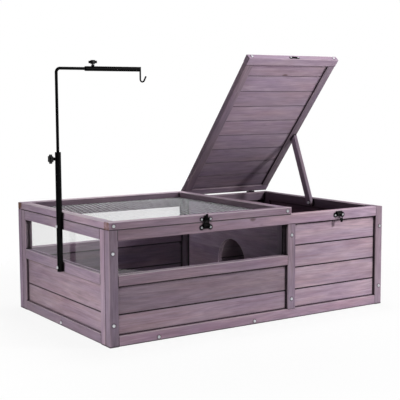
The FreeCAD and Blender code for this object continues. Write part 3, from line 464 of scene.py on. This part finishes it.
def tone_piece(tree, colour, where, piece, floor_light_tone, inside, fade):
    """The wash in the tone of its piece, with painted shade inside the house and painted light on the lid."""
    # Painted shade: faces that look towards the middle of the house take the inside tone.
    painted_inner_shade = add(tree, "ShaderNodeVectorMath", {
        0: where["Object"], 1: where["Normal"],
    }, operation="DOT_PRODUCT")
    painted_inner_shade = add(tree, "ShaderNodeMapRange", {
        0: painted_inner_shade.outputs["Value"], 1: -0.02, 2: -0.01, 3: inside, 4: 1.0,
    })
    tones = add(tree, "ShaderNodeSeparateColor", {0: piece["Color"]})
    spot = add(tree, "ShaderNodeSeparateXYZ", {0: where["Object"]})
    # The tone ramps from the left end to the right end. On the front this adds painted light to the fall of the
    # right lamp's light.
    tone = add(tree, "ShaderNodeMapRange", {
        0: spot.outputs[0], 1: -HALF_LENGTH, 2: HALF_LENGTH, 3: tones.outputs[0], 4: tones.outputs[1],
    })
    for factor in (painted_inner_shade.outputs[0], tone.outputs[0], floor_light_tone):
        colour = add(tree, "ShaderNodeVectorMath", {0: colour, 3: factor}, operation="SCALE").outputs[0]
    cool = add(tree, "ShaderNodeCombineXYZ", {0: 1.0, 1: 1.0, 2: tones.outputs[2]})
    colour = add(tree, "ShaderNodeVectorMath", {0: colour, 1: cool.outputs[0]}, operation="MULTIPLY")
    # Painted light: the tone changes with height, which darkens the lid near its hinge and lightens its upper
    # edge.
    if fade:
        low_z, high_z, low_tone, high_tone = fade
        painted_lid_light = add(tree, "ShaderNodeMapRange", {
            0: spot.outputs[2], 1: low_z, 2: high_z, 3: low_tone, 4: high_tone,
        })
        colour = add(tree, "ShaderNodeVectorMath", {
            0: colour.outputs[0], 3: painted_lid_light.outputs[0],
        }, operation="SCALE")
    return colour.outputs[0]


print("tones run from", -HALF_LENGTH, "to", HALF_LENGTH, "m")

# %% [markdown]
# ## Washed fir: the doorway
# The divider between run and shelter has an arched doorway. Its edge was sawn and is dark, and its rim gets a
# painted highlight, where the edge catches the light. Ambient Occlusion that looks inwards finds the rim,
# because there is little wood behind it. A painted mask would need a map of the panel. The panel is also
# painted lighter towards the back, as painted light from the left window.

# %% Washed fir: doorway
X, Y, Z = (1, 0, 0), (0, 1, 0), (0, 0, 1)
HALF_DEPTH = 0.28
RIM_MM = 2.5


def show_doorway(tree, colour, where):
    """The divider's dark sawn edge, a painted highlight on its rim, and painted light towards the back."""
    thin_wood = add(tree, "ShaderNodeAmbientOcclusion", {"Distance": RIM_MM * MM}, samples=8, inside=True)
    sawn = add(tree, "ShaderNodeVectorMath", {0: where["Normal"], 1: X}, operation="DOT_PRODUCT")
    sawn = add(tree, "ShaderNodeMath", {0: sawn.outputs["Value"]}, operation="ABSOLUTE")
    sawn = add(tree, "ShaderNodeMapRange", {0: sawn.outputs[0], 1: 0.2, 2: 0.8, 3: 0.5, 4: 1.0})
    colour = add(tree, "ShaderNodeVectorMath", {0: colour, 3: sawn.outputs[0]}, operation="SCALE")
    # Painted highlight on the rim, where the edge of the doorway catches the light.
    light = add(tree, "ShaderNodeMapRange", {0: thin_wood.outputs["AO"], 1: 0.80, 2: 0.60, 3: 0.0, 4: 0.9})
    colour = add(tree, "ShaderNodeMix", {
        0: light.outputs[0], 6: colour.outputs[0], 7: paint("#C9B9BE"),
    }, data_type="RGBA")
    # Painted light: the panel grows lighter towards the back, where light from the left window falls.
    spot = add(tree, "ShaderNodeSeparateXYZ", {0: where["Object"]})
    depth = add(tree, "ShaderNodeMapRange", {
        0: spot.outputs[1], 1: -HALF_DEPTH, 2: HALF_DEPTH, 3: 0.50, 4: 1.70,
    })
    colour = add(tree, "ShaderNodeVectorMath", {0: colour.outputs[2], 3: depth.outputs[0]}, operation="SCALE")
    return colour.outputs[0]


print("thickness of the divider:", round(nodes["divider_panel"].dimensions.x / MM), "mm")

# %% [markdown]
# ## Washed fir: edges and ends
# Rounded edges point between the axes, and there the wash is rubbed pale and gets a painted highlight, most of
# all on top, where edges catch the light from above. Where the edge is the lip of a groove, it gets painted
# shade instead. Cut ends point along the grain and drink the wash, so they are brown with rings. The direction
# that a surface faces is all that the shader needs for both. The Pointiness of a mesh would need many more
# faces.

# %% Washed fir: edges and ends
EDGE_START, EDGE_FULL = 0.985, 0.78  # the largest part of the facing, which is 1 on a flat face


def wear_and_light_edges(tree, colour, where, face, marks, groove_shade, raw):
    """Rubbed edges with a painted highlight, or painted shade on the lips of grooves, and brown cut ends."""
    facing = add(tree, "ShaderNodeVectorMath", {0: face}, operation="ABSOLUTE")
    facing = add(tree, "ShaderNodeSeparateXYZ", {0: facing.outputs[0]})
    most = add(tree, "ShaderNodeMath", {0: facing.outputs[1], 1: facing.outputs[2]}, operation="MAXIMUM")
    most = add(tree, "ShaderNodeMath", {0: most.outputs[0], 1: facing.outputs[0]}, operation="MAXIMUM")
    edge = add(tree, "ShaderNodeMapRange", {0: most.outputs[0], 1: EDGE_START, 2: EDGE_FULL})
    rub = add(tree, "ShaderNodeMapRange", {0: marks["brush"], 1: 0.38, 2: 0.62, 3: 0.1, 4: 0.7})
    # Edges are rubbed pale with a painted highlight, or take painted shade on the lips of a groove.
    edge_wear_and_light = add(tree, "ShaderNodeMath", {0: edge.outputs[0], 1: groove_shade or rub.outputs[0]}, operation="MULTIPLY")
    colour = add(tree, "ShaderNodeMix", {
        0: edge_wear_and_light.outputs[0], 6: colour, 7: paint("#33282F" if groove_shade else "#B5A1A8"),
    }, data_type="RGBA")
    if not groove_shade:
        # Painted highlight: edges that face up are paler, as if lit from above.
        upward = add(tree, "ShaderNodeSeparateXYZ", {0: where["Normal"]})
        painted_top_highlight = add(tree, "ShaderNodeMapRange", {0: upward.outputs[2], 1: 0.25, 2: 0.6, 3: 0.0, 4: 0.8})
        painted_top_highlight = add(tree, "ShaderNodeMath", {0: painted_top_highlight.outputs[0], 1: edge.outputs[0]}, operation="MULTIPLY")
        colour = add(tree, "ShaderNodeMix", {
            0: painted_top_highlight.outputs[0], 6: colour.outputs[2], 7: paint("#D3C5CC"),
        }, data_type="RGBA")
    cut = add(tree, "ShaderNodeMapRange", {0: facing.outputs[0], 1: 0.75, 2: 0.95})
    early_ring, late_ring = ("#7C5A4C", "#553C34") if raw else ("#857381", "#6D5B68")
    rings = add(tree, "ShaderNodeMix", {
        0: marks["late"], 6: paint(early_ring), 7: paint(late_ring),
    }, data_type="RGBA")
    missed = add(tree, "ShaderNodeMapRange", {0: marks["coat"], 1: 0.42, 2: 0.56, 3: 1.0, 4: 0.25})
    cut = add(tree, "ShaderNodeMath", {0: cut.outputs[0], 1: missed.outputs[0]}, operation="MULTIPLY")
    colour = add(tree, "ShaderNodeMix", {
        0: cut.outputs[0], 6: colour.outputs[2], 7: rings.outputs[2],
    }, data_type="RGBA")
    return colour.outputs[2]


print("an edge starts", round(math.degrees(math.acos(EDGE_START))), "degrees off its face")

# %% [markdown]
# ## Washed fir: joints and painted shade
# Joints are drawn dark, and the same dark wash paints the shade in recesses and under rails. Ambient Occlusion
# finds them: a wide search of 14 mm that looks upwards, for the painted shade under rails, and a tight one of 5
# mm for the joint line itself, part dark wash and part painted shade. On level tops only a shut joint is dark,
# so that no painted shade lies beside a pane. Dark lines could be modelled as gaps, but the timbers of the
# solid model touch, as glued ones do.

# %% Washed fir: joints
JOINT_MM, SHADE_MM = 5, 14


def paint_joint_shade(tree, colour, where, shade_share):
    """Dark joints, and painted shade in recesses and under rails, drawn as a dark wash. The last argument is
    how much of it hides the colour.
    """
    plain = add(tree, "ShaderNodeNewGeometry")
    # The wide search looks upwards, so that it paints the shadow under rails.
    skyward = add(tree, "ShaderNodeVectorMath", {0: plain.outputs["Normal"], 1: (0, 0, 0.5)}, operation="ADD")
    skyward = add(tree, "ShaderNodeVectorMath", {0: skyward.outputs[0]}, operation="NORMALIZE")
    shade = add(tree, "ShaderNodeAmbientOcclusion", {
        "Distance": SHADE_MM * MM, "Normal": skyward.outputs[0],
    }, samples=8)
    # Painted shade under rails from the wide search, and dark joint lines from the tight one, part wash and
    # part painted shade.
    pool = add(tree, "ShaderNodeMapRange", {0: shade.outputs["AO"], 1: 0.78, 2: 0.50, 3: 0.0, 4: shade_share})
    near = add(tree, "ShaderNodeAmbientOcclusion", {"Distance": JOINT_MM * MM}, samples=8)
    tight = add(tree, "ShaderNodeMapRange", {0: near.outputs["AO"], 1: 0.98, 2: 0.80, 3: 0.0, 4: shade_share})
    pool = add(tree, "ShaderNodeMath", {0: pool.outputs[0], 1: tight.outputs[0]}, operation="MAXIMUM")
    # No painted shade on level tops but that of a shut joint, so that none lies beside a pane.
    upward = add(tree, "ShaderNodeSeparateXYZ", {0: where["Normal"]})
    level_top = add(tree, "ShaderNodeMapRange", {0: upward.outputs[2], 1: 0.6, 2: 0.9, 3: 1.0, 4: 0.0})
    pool = add(tree, "ShaderNodeMath", {0: pool.outputs[0], 1: level_top.outputs[0]}, operation="MULTIPLY")
    shut = add(tree, "ShaderNodeMapRange", {0: near.outputs["AO"], 1: 0.72, 2: 0.55, 3: 0.0, 4: shade_share})
    pool = add(tree, "ShaderNodeMath", {0: pool.outputs[0], 1: shut.outputs[0]}, operation="MAXIMUM")
    colour = add(tree, "ShaderNodeMix", {0: pool.outputs[0], 6: colour, 7: paint("#241B20")}, data_type="RGBA")
    return colour.outputs[2]


print("joints are dark within", JOINT_MM, "mm")

# %% [markdown]
# ## Washed fir: the whole finish
# Now the steps come together. The wash is matt, and its roughness and relief follow the fibres and the growth
# layers. Relief from a Bump node is enough for grain that is a fraction of a millimetre deep.

# %% Washed fir: whole finish
RELIEF_MM = 0.3


def washed_fir(
    name, along, across, pitch_mm=0.0, first_mm=0.0, halves=(0, 0), split=0.0, groove_shade=0.0, raw=False,
    inside=1.0, fade=None, doorway=False, shade_share=0.96, thin_coat="#98839A", full_coat="#AE9AA9",
):
    """The wash on fir with its grain along one direction, with painted highlights and painted shade. Rows of
    boards follow each other across it.
    """
    made, tree, out = new_material(name)
    where, mm, face = lay_grain(tree, along, across)
    piece = add(tree, "ShaderNodeObjectInfo").outputs
    moved, luck, floor_light_tone = number_boards(tree, where, mm, piece, pitch_mm, first_mm, halves, split)
    marks = draw_marks(tree, moved)
    colour = brush_wash(tree, marks, draw_knots(tree, moved), luck, thin_coat, full_coat)
    colour = tone_piece(tree, colour, where, piece, floor_light_tone, inside, fade)
    if doorway:
        colour = show_doorway(tree, colour, where)
    colour = wear_and_light_edges(tree, colour, where, face, marks, groove_shade, raw)
    colour = paint_joint_shade(tree, colour, where, shade_share)
    dull = add(tree, "ShaderNodeMapRange", {0: marks["fibre"], 1: 0.25, 2: 0.75, 3: 0.52, 4: 0.72})
    relief = add(tree, "ShaderNodeMath", {
        0: marks["late"], 1: 0.6, 2: marks["fibre"],
    }, operation="MULTIPLY_ADD")
    bump = add(tree, "ShaderNodeBump", {
        "Strength": 0.35, "Distance": RELIEF_MM * MM, "Height": relief.outputs[0],
    })
    skin = add(tree, "ShaderNodeBsdfPrincipled", {
        "Base Color": colour, "Roughness": dull.outputs[0], "Normal": bump.outputs[0],
        "Specular IOR Level": 0.25,
    })
    tree.links.new(skin.outputs[0], out.inputs["Surface"])
    return made


print("relief of the grain:", RELIEF_MM, "mm")

# %% [markdown]
# ## Washed fir: one finish for each kind of timber
# Rails run along the house or across it, posts stand upright, boards lie in rows in the walls, and the lid's
# timbers lie in the slope of the open lid. Each kind gets a material with its own direction of the grain, so
# the grain follows the timber as it would from the saw. Boards in a groove get painted shade on their lips, and
# rails with their ends in sight have raw, brown end grain.

# %% Washed fir: finishes
# Directions and places from the solid model: the open lid, its first board and the leaning prop
tilt = math.radians(49.5)
lid_across = (0, math.cos(tilt), -math.sin(tilt))
HINGE_Y_MM, HINGE_Z_MM, LID_EDGE_Y_MM = 289, 295.25, 266
lid_first = math.cos(tilt) * HINGE_Y_MM - math.sin(tilt) * HINGE_Z_MM + (LID_EDGE_Y_MM - HINGE_Y_MM)
back, lean = math.radians(28.8), math.radians(6.4)
stick = Vector((math.cos(back) * math.sin(lean), math.sin(back), math.cos(back) * math.cos(lean)))
# The inside tone is painted shade on faces towards the middle of the house.
wall = {
    "pitch_mm": 62.5, "first_mm": 17.5, "inside": 0.52, "thin_coat": "#9A8292", "full_coat": "#B29CA6",
}
lid = {"pitch_mm": 60.2, "first_mm": lid_first, "groove_shade": 0.35, "shade_share": 0.42}
warm = {"thin_coat": "#9A8098", "full_coat": "#B197A8"}

# Thinly washed fir: matt, grey-violet, streaked along the grain, paler on rubbed edges with a painted
# highlight, dark in the joints, and with painted shade in grooves, under rails and inside the house
finishes = {
    "long_timber": washed_fir("washed_fir_long", X, Z, raw=True, inside=0.52, **warm),
    "cross_timber": washed_fir("washed_fir_cross", Y, Z, halves=(0.31, 0), split=-0.2, raw=True, inside=0.52),
    "upright_timber": washed_fir("washed_fir_upright", Z, X, halves=(0.31, 0.17), inside=0.50),
    "wall_boards": washed_fir("washed_fir_wall_boards", X, Z, groove_shade=0.9, **wall),
    "side_boards": washed_fir("washed_fir_side_boards", Y, Z, groove_shade=0.7, shade_share=0.5, **wall),
    # The lid's fade is painted light: darker near the hinge, paler towards the upper edge.
    "lid_boards": washed_fir("washed_fir_lid_boards", X, lid_across, fade=(0.36, 0.54, 0.62, 1.04), **lid),
    "lid_rails": washed_fir("washed_fir_lid_rails", X, lid_across, fade=(0.36, 0.54, 0.75, 1.0)),
    "lid_stiles": washed_fir(
        "washed_fir_lid_stiles", lid_across, X, halves=(0.31, 0), split=0.3, fade=(0.36, 0.66, 0.46, 0.69),
    ),
    "prop_wood": washed_fir("washed_fir_prop", stick, stick.cross(Vector(X))),
    "floor_board": washed_fir("washed_fir_floor", X, Y, pitch_mm=131, first_mm=-262),
    "divider_board": washed_fir("washed_fir_divider", Y, Z, pitch_mm=140, first_mm=16, doorway=True),
}
print("wood finishes:", len(finishes))

# %% [markdown]
# ## Clear acrylic
# The panes are cast acrylic, 3 mm thick, clear and polished. Real glass shaders stop the lamps' light, so the
# inside of the house would be black. A Transparent shader takes over for shadow rays, and daylight comes in. It
# is grey, so only a part of the light comes in: painted shade that keeps the inside dim.
# Wiping marks about 40 mm across make the roughness uneven.

# %% Clear acrylic
WIPE_MM = 40
# Cast acrylic: clear, with a sharp reflection that is a little smeared where it was wiped
clear_acrylic, tree, out = new_material("clear_acrylic")
where = add(tree, "ShaderNodeTexCoord")
smear = add(tree, "ShaderNodeTexNoise", {
    "Vector": where.outputs["Object"], "Scale": 1000 / WIPE_MM, "Detail": 3.0, "Distortion": 1.5,
})
haze = add(tree, "ShaderNodeMapRange", {0: smear.outputs[0], 1: 0.35, 2: 0.75, 3: 0.002, 4: 0.015})
pane = add(tree, "ShaderNodeBsdfPrincipled", {
    "Base Color": WHITE, "Roughness": haze.outputs[0], "IOR": 1.49, "Transmission Weight": 1.0,
})
# Grey for shadow rays: painted shade, which lets only a part of the lamps' light into the house.
through = add(tree, "ShaderNodeBsdfTransparent", {"Color": paint("#BFC3C3")})
path = add(tree, "ShaderNodeLightPath")
blend = add(tree, "ShaderNodeMixShader", {
    0: path.outputs["Is Shadow Ray"], 1: pane.outputs[0], 2: through.outputs[0],
})
tree.links.new(blend.outputs[0], out.inputs["Surface"])
finishes["clear_acrylic"] = clear_acrylic
print("nodes in the panes' material:", len(tree.nodes))

# %% [markdown]
# ## Metal and plastic
# The lamp stand is steel with a black powder coat, which cures with a fine orange-peel skin about 1.5 mm
# across, and the hinges and latches are enamelled. The screws are zinc plated and bright, and the wire is
# galvanised, so it is dull and a little cloudy. The knobs and the bush are moulded plastic with a fine
# spark-eroded grain. All are a thin skin of one colour, so one function makes them: clouds about 17 mm across
# vary the colour and the gloss, and a fine noise gives the relief.

# %% Metal and plastic
CLOUD_MM = 50 / 3


def coated(name, colour, worn_colour, rough, grain_mm, relief_mm, metal=0.0, shine=0.5):
    """A coated, plated or moulded skin: one colour that varies a little, with a fine relief."""
    made, tree, out = new_material(name)
    where = add(tree, "ShaderNodeTexCoord")
    cloud = add(tree, "ShaderNodeTexNoise", {
        "Vector": where.outputs["Object"], "Scale": 1000 / CLOUD_MM, "Detail": 4.0,
    })
    skin = add(tree, "ShaderNodeTexNoise", {
        "Vector": where.outputs["Object"], "Scale": 1000 / grain_mm, "Detail": 2.0,
    })
    patch = add(tree, "ShaderNodeMapRange", {0: cloud.outputs[0], 1: 0.35, 2: 0.70})
    tint = add(tree, "ShaderNodeMix", {
        0: patch.outputs[0], 6: paint(colour), 7: paint(worn_colour),
    }, data_type="RGBA")
    dull = add(tree, "ShaderNodeMapRange", {
        0: cloud.outputs[0], 1: 0.3, 2: 0.7, 3: rough - 0.02, 4: rough + 0.02,
    })
    bump = add(tree, "ShaderNodeBump", {
        "Strength": 0.3, "Distance": relief_mm * MM, "Height": skin.outputs[0],
    })
    body = add(tree, "ShaderNodeBsdfPrincipled", {
        "Base Color": tint.outputs[2], "Metallic": metal, "Roughness": dull.outputs[0],
        "Normal": bump.outputs[0], "Specular IOR Level": shine,
    })
    tree.links.new(body.outputs[0], out.inputs["Surface"])
    return made


# Powder coat: an even, deep black with a faint orange peel and hardly a gleam
finishes["black_tube"] = coated("black_powder_coat", "#040405", "#070708", 0.50, 1.5, 0.008, shine=0.12)
# Enamelled steel: blacker still, and almost without shine
finishes["black_hardware"] = coated("black_enamelled_steel", "#030303", "#060606", 0.50, 1.2, 0.006, shine=0.08)
# Moulded ABS: black with a soft satin gleam that shows the lobes of a knob
finishes["black_plastic"] = coated("moulded_black_abs", "#0A0A0B", "#121213", 0.50, 0.6, 0.008)
# Moulded nylon: milky white, hidden in the tube
finishes["guide_plastic"] = coated("moulded_nylon", "#DAD8D0", "#CFCCC2", 0.45, 0.8, 0.04)
# Bright zinc plate: small pale dots that catch the lamps
finishes["zinc_screw"] = coated("bright_zinc", "#F6F7FA", "#E6E8EE", 0.34, 0.9, 0.01, metal=0.3)
# Hot-dip galvanised wire: pale and dull, so that the net reads as light grey on dark wood
finishes["galvanised_wire"] = coated("galvanised_steel", "#F4F5F8", "#E6E8EC", 0.45, 0.8, 0.01, metal=0.2)
print("finishes in all:", len(finishes))

# %% [markdown]
# ## Dressing the frame
# Every node of the frame knows its material slot, so the finishes are handed out by slot. The object index
# numbers the pieces, which is how the wash tells one timber from the next, and the object's colour carries the
# four tones of its piece. A piece that isn't listed keeps the plain wash.

# %% Dress the frame
PLAIN_TONE = (1, 1, 1, 1)
# Part of these tones is painted light. The ramps from left to right along the front add to the fall of the
# right lamp's light. A fourth number below one keeps the lowest boards lighter, as painted light from the
# floor. The floor's half tone is painted shade that keeps the inside dim.
timber_tones = {  # left end, right end, share of blue, boards above the lowest
    "front_shelter_boards": (1.00, 1.38, 1.02, 1.0), "front_run_boards": (1.16, 1.28, 1.02, 0.63),
    "front_end_posts": (0.68, 1.16, 1.0, 1.0), "front_centre_post": (0.80, 0.80, 1.03, 1.0),
    "front_top_rail": (0.68, 1.66, 0.98, 1.0), "front_mid_rail": (0.78, 1.25, 0.97, 1.0),
    "front_bottom_rail": (1.12, 1.26, 1.0, 1.0), "mesh_lid_front_rail": (1.0, 1.0, 0.96, 1.0),
    "left_boards": (1.02, 1.02, 1.0, 0.96), "left_bottom_rail": (0.82, 0.82, 1.0, 1.0),
    "left_top_rail": (0.84, 0.84, 1.0, 1.0), "left_mid_rail": (0.83, 0.83, 1.0, 1.0),
    "left_stiles": (0.92, 0.92, 0.98, 1.0), "mesh_lid_side_rails": (0.93, 1.30, 0.98, 1.0),
    "back_run_boards": (1.25, 1.25, 1.14, 1.0), "back_mid_rail": (1.4, 1.2, 1.06, 1.0),
    "back_centre_post": (1.4, 1.4, 1.06, 1.0), "divider_panel": (0.92, 0.92, 1.03, 1.0),
    "floor_panel": (0.5, 0.5, 1.0, 1.0), "prop_stick": (0.80, 0.80, 1.0, 1.0),
}
slots = {part["node"]: part["material_slot"] for part in frame["record"]["subparts"]}
for number, name in enumerate(sorted(nodes)):
    thing = nodes[name]
    thing.pass_index = 7 * number + 1
    if not thing.data.materials:
        thing.data.materials.append(None)
    for i in range(len(thing.data.materials)):
        thing.data.materials[i] = finishes[slots[name]]
    thing.color = timber_tones.get(name, PLAIN_TONE)
print("dressed:", len(nodes))

# %% [markdown]
# ## Welded wire mesh
# The run is covered with galvanised mesh: straight wires 0.5 mm thick, welded where they cross. The frame only
# has a coarse sheet there. The real gaps may be nearer 6 mm, which at this distance blur to plain grey, so the
# wires are drawn 10 mm apart. How many fit, and where the first ones lie, follows from the box of the sheet.

# %% Welded wire mesh
WIRE_R = 0.245 * MM
SPACING = 10 * MM  # drawn coarser than the real gaps, so that it shows
low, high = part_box("wire_mesh")
size_x = high.x - low.x
size_y = high.y - low.y
top_z = high.z - WIRE_R
bead_z = top_z - 0.7 * WIRE_R  # half of the way between the wires, which sink into each other
cross_z = top_z - 1.4 * WIRE_R
count_x = int((size_x - 4 * WIRE_R) / SPACING) + 1
count_y = int((size_y - 4 * WIRE_R) / SPACING) + 1
start_x = (low.x + high.x - (count_x - 1) * SPACING) / 2
start_y = (low.y + high.y - (count_y - 1) * SPACING) / 2
middle_x = (low.x + high.x) / 2
middle_y = (low.y + high.y) / 2
print("wires along the lid:", count_y, "and across it:", count_x)

# %% [markdown]
# ## Wires
# One wire is modelled, cut into short lengths, so that it can bulge later, and copied across the lid with an
# Array modifier. The same is done the other way. Each wire has four sides, because there are so many and none
# is thicker than a hair in the picture. A texture with holes would be lighter, but flat when seen up close.

# %% Wires
LONG_CUTS = 200
CROSS_CUTS = 40
QUARTER = math.pi / 2


def repeat(thing, count, step):
    """Copies in a row, by an Array modifier that is applied."""
    row = thing.modifiers.new("row", "ARRAY")
    row.use_relative_offset = False
    row.use_constant_offset = True
    row.count = count
    row.constant_offset_displace = step
    bpy.context.view_layer.objects.active = thing
    bpy.ops.object.modifier_apply(modifier=row.name)


def straight_wire(name, length, cuts, turn, place):
    """One wire: a slim four-sided rod that is cut into short lengths and laid on its side."""
    select_none()
    bpy.ops.mesh.primitive_cylinder_add(vertices=4, radius=WIRE_R, depth=length, end_fill_type="NGON")
    wire = bpy.context.object
    wire.name = name
    bpy.ops.object.mode_set(mode="EDIT")
    for i in range(1, cuts):
        bpy.ops.mesh.select_all(action="SELECT")
        bpy.ops.mesh.bisect(plane_co=(0, 0, length * (i / cuts - 0.5)), plane_no=Z)
    bpy.ops.object.mode_set(mode="OBJECT")
    wire.rotation_euler = turn
    wire.location = place
    bpy.ops.object.transform_apply(location=True, rotation=True, scale=True)
    bpy.ops.object.shade_smooth()
    return wire


long_wires = straight_wire("long_wires", size_x, LONG_CUTS, (0, QUARTER, 0), (middle_x, start_y, top_z))
repeat(long_wires, count_y, (0, SPACING, 0))
cross_wires = straight_wire("cross_wires", size_y, CROSS_CUTS, (QUARTER, 0, 0), (start_x, middle_y, cross_z))
repeat(cross_wires, count_x, (SPACING, 0, 0))
print("faces of all wires:", len(long_wires.data.polygons) + len(cross_wires.data.polygons))

# %% [markdown]
# ## Beads and bulge
# A weld is a small flattened bead of zinc. One is squeezed from a coarse sphere and copied over all crossings.
# Wires and beads are joined, and then the net is pushed out of its plane point by point, which is the code
# form of pushing it with a soft brush. It bulges by 5 mm in the middle and gets the small ripples that such a
# net keeps from its roll. A sine both ways keeps it flat at the rails.

# %% Beads and bulge
BULGE_MM = 5.0
RIPPLE_MM = 1.6
RIPPLES_X, RIPPLES_Y = 221, 58  # radians along and across the lid


def join(things):
    """One object from several: the last one takes in the others."""
    select_none()
    for thing in things:
        thing.select_set(True)
    bpy.context.view_layer.objects.active = things[-1]
    bpy.ops.object.join()
    return bpy.context.object


bead_place = (start_x, start_y, bead_z)
select_none()
bpy.ops.mesh.primitive_uv_sphere_add(segments=4, ring_count=2, radius=1.5 * WIRE_R, location=bead_place)
beads = bpy.context.object
bpy.ops.object.transform_apply(location=True, rotation=True, scale=True)
bpy.ops.object.mode_set(mode="EDIT")
bpy.ops.mesh.select_all(action="SELECT")
bpy.ops.transform.resize(value=(1.15, 1.15, 0.9), center_override=bead_place)
bpy.ops.object.mode_set(mode="OBJECT")
repeat(beads, count_x, (SPACING, 0, 0))
repeat(beads, count_y, (0, SPACING, 0))
net = join((beads, cross_wires, long_wires))
net.name = "welded_wire_mesh"
for point in net.data.vertices:
    along = (point.co.x - low.x) / size_x
    over = (point.co.y - low.y) / size_y
    slack = max(0.0, math.sin(math.pi * along) * math.sin(math.pi * over))
    wave = math.sin(RIPPLES_X * along + RIPPLES_Y * over) + math.sin(RIPPLES_X * along - RIPPLES_Y * over)
    point.co.z += MM * (BULGE_MM * slack + RIPPLE_MM * slack ** 0.3 * wave)
net.data.materials.clear()
net.data.materials.append(finishes["galvanised_wire"])
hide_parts("wire_mesh")
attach(net, "mesh_lid")
print("faces of the net:", len(net.data.polygons))

# %% [markdown]
# ## Staples
# The mesh lies in a rebate under the lid's frame and is stapled there. A staple is a flat wire with two legs.
# It could be bent from a curve, but its flat back and square corners are simpler from a plane: one is extruded
# to its thickness, cut near both ends, and the faces outside the cuts are pulled up into legs.

# %% Staples
STAPLE_L, STAPLE_W, STAPLE_T = 9 * MM, 1.2 * MM, 0.6 * MM
LEG = 5 * MM
INSET = 3.6 * MM
PER_RAIL = 7
under = top_z - 2.4 * WIRE_R - STAPLE_T  # against the cross wires
leg_x = STAPLE_L / 2 - STAPLE_T

select_none()
bpy.ops.mesh.primitive_plane_add(size=1)
model = bpy.context.object
bpy.ops.object.mode_set(mode="EDIT")
bpy.ops.transform.resize(value=(STAPLE_L, STAPLE_W, 1))
bpy.ops.mesh.extrude_region_move(TRANSFORM_OT_translate={"value": (0, 0, STAPLE_T)})
for end_x in (-leg_x, leg_x):
    bpy.ops.mesh.select_all(action="SELECT")
    bpy.ops.mesh.bisect(plane_co=(end_x, 0, 0), plane_no=X)
bpy.ops.mesh.select_mode(type="FACE")
bpy.ops.mesh.select_all(action="DESELECT")
bpy.ops.object.mode_set(mode="OBJECT")
for polygon in model.data.polygons:
    polygon.select = abs(polygon.center.x) > leg_x and polygon.center.z > STAPLE_T * 0.9
bpy.ops.object.mode_set(mode="EDIT")
bpy.ops.mesh.extrude_region_move(TRANSFORM_OT_translate={"value": (0, 0, LEG)})
bpy.ops.mesh.select_all(action="SELECT")
bpy.ops.mesh.normals_make_consistent(inside=False)
bpy.ops.object.mode_set(mode="OBJECT")
print("faces of a staple:", len(model.data.polygons))

# %% [markdown]
# ## Staples along the rails
# Seven staples hold the net to each of the four rails, and each lies along its rail. Every copy gets its own
# mesh, so that its place and turn can be applied to it: linked copies share one mesh, and applying one would
# move them all.

# %% Staples along the rails
places = []
for i in range(PER_RAIL):
    x = low.x + size_x * (i + 0.5) / PER_RAIL
    y = low.y + size_y * (i + 0.5) / PER_RAIL
    places += [
        ((x, low.y + INSET, under), 0), ((x, high.y - INSET, under), 0),
        ((low.x + INSET, y, under), QUARTER), ((high.x - INSET, y, under), QUARTER),
    ]
all_staples = []
for place, turn in places:
    made = model.copy()
    made.data = model.data.copy()
    scene.collection.objects.link(made)
    select_none()
    made.select_set(True)
    bpy.context.view_layer.objects.active = made
    made.rotation_euler = (0, 0, turn)
    made.location = place
    bpy.ops.object.transform_apply(location=True, rotation=True, scale=True)
    all_staples.append(made)
bpy.data.objects.remove(model)
staples = join(all_staples)
staples.name = "mesh_staples"
staples.data.materials.append(finishes["galvanised_wire"])
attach(staples, "mesh_lid")
print("staples:", len(all_staples))
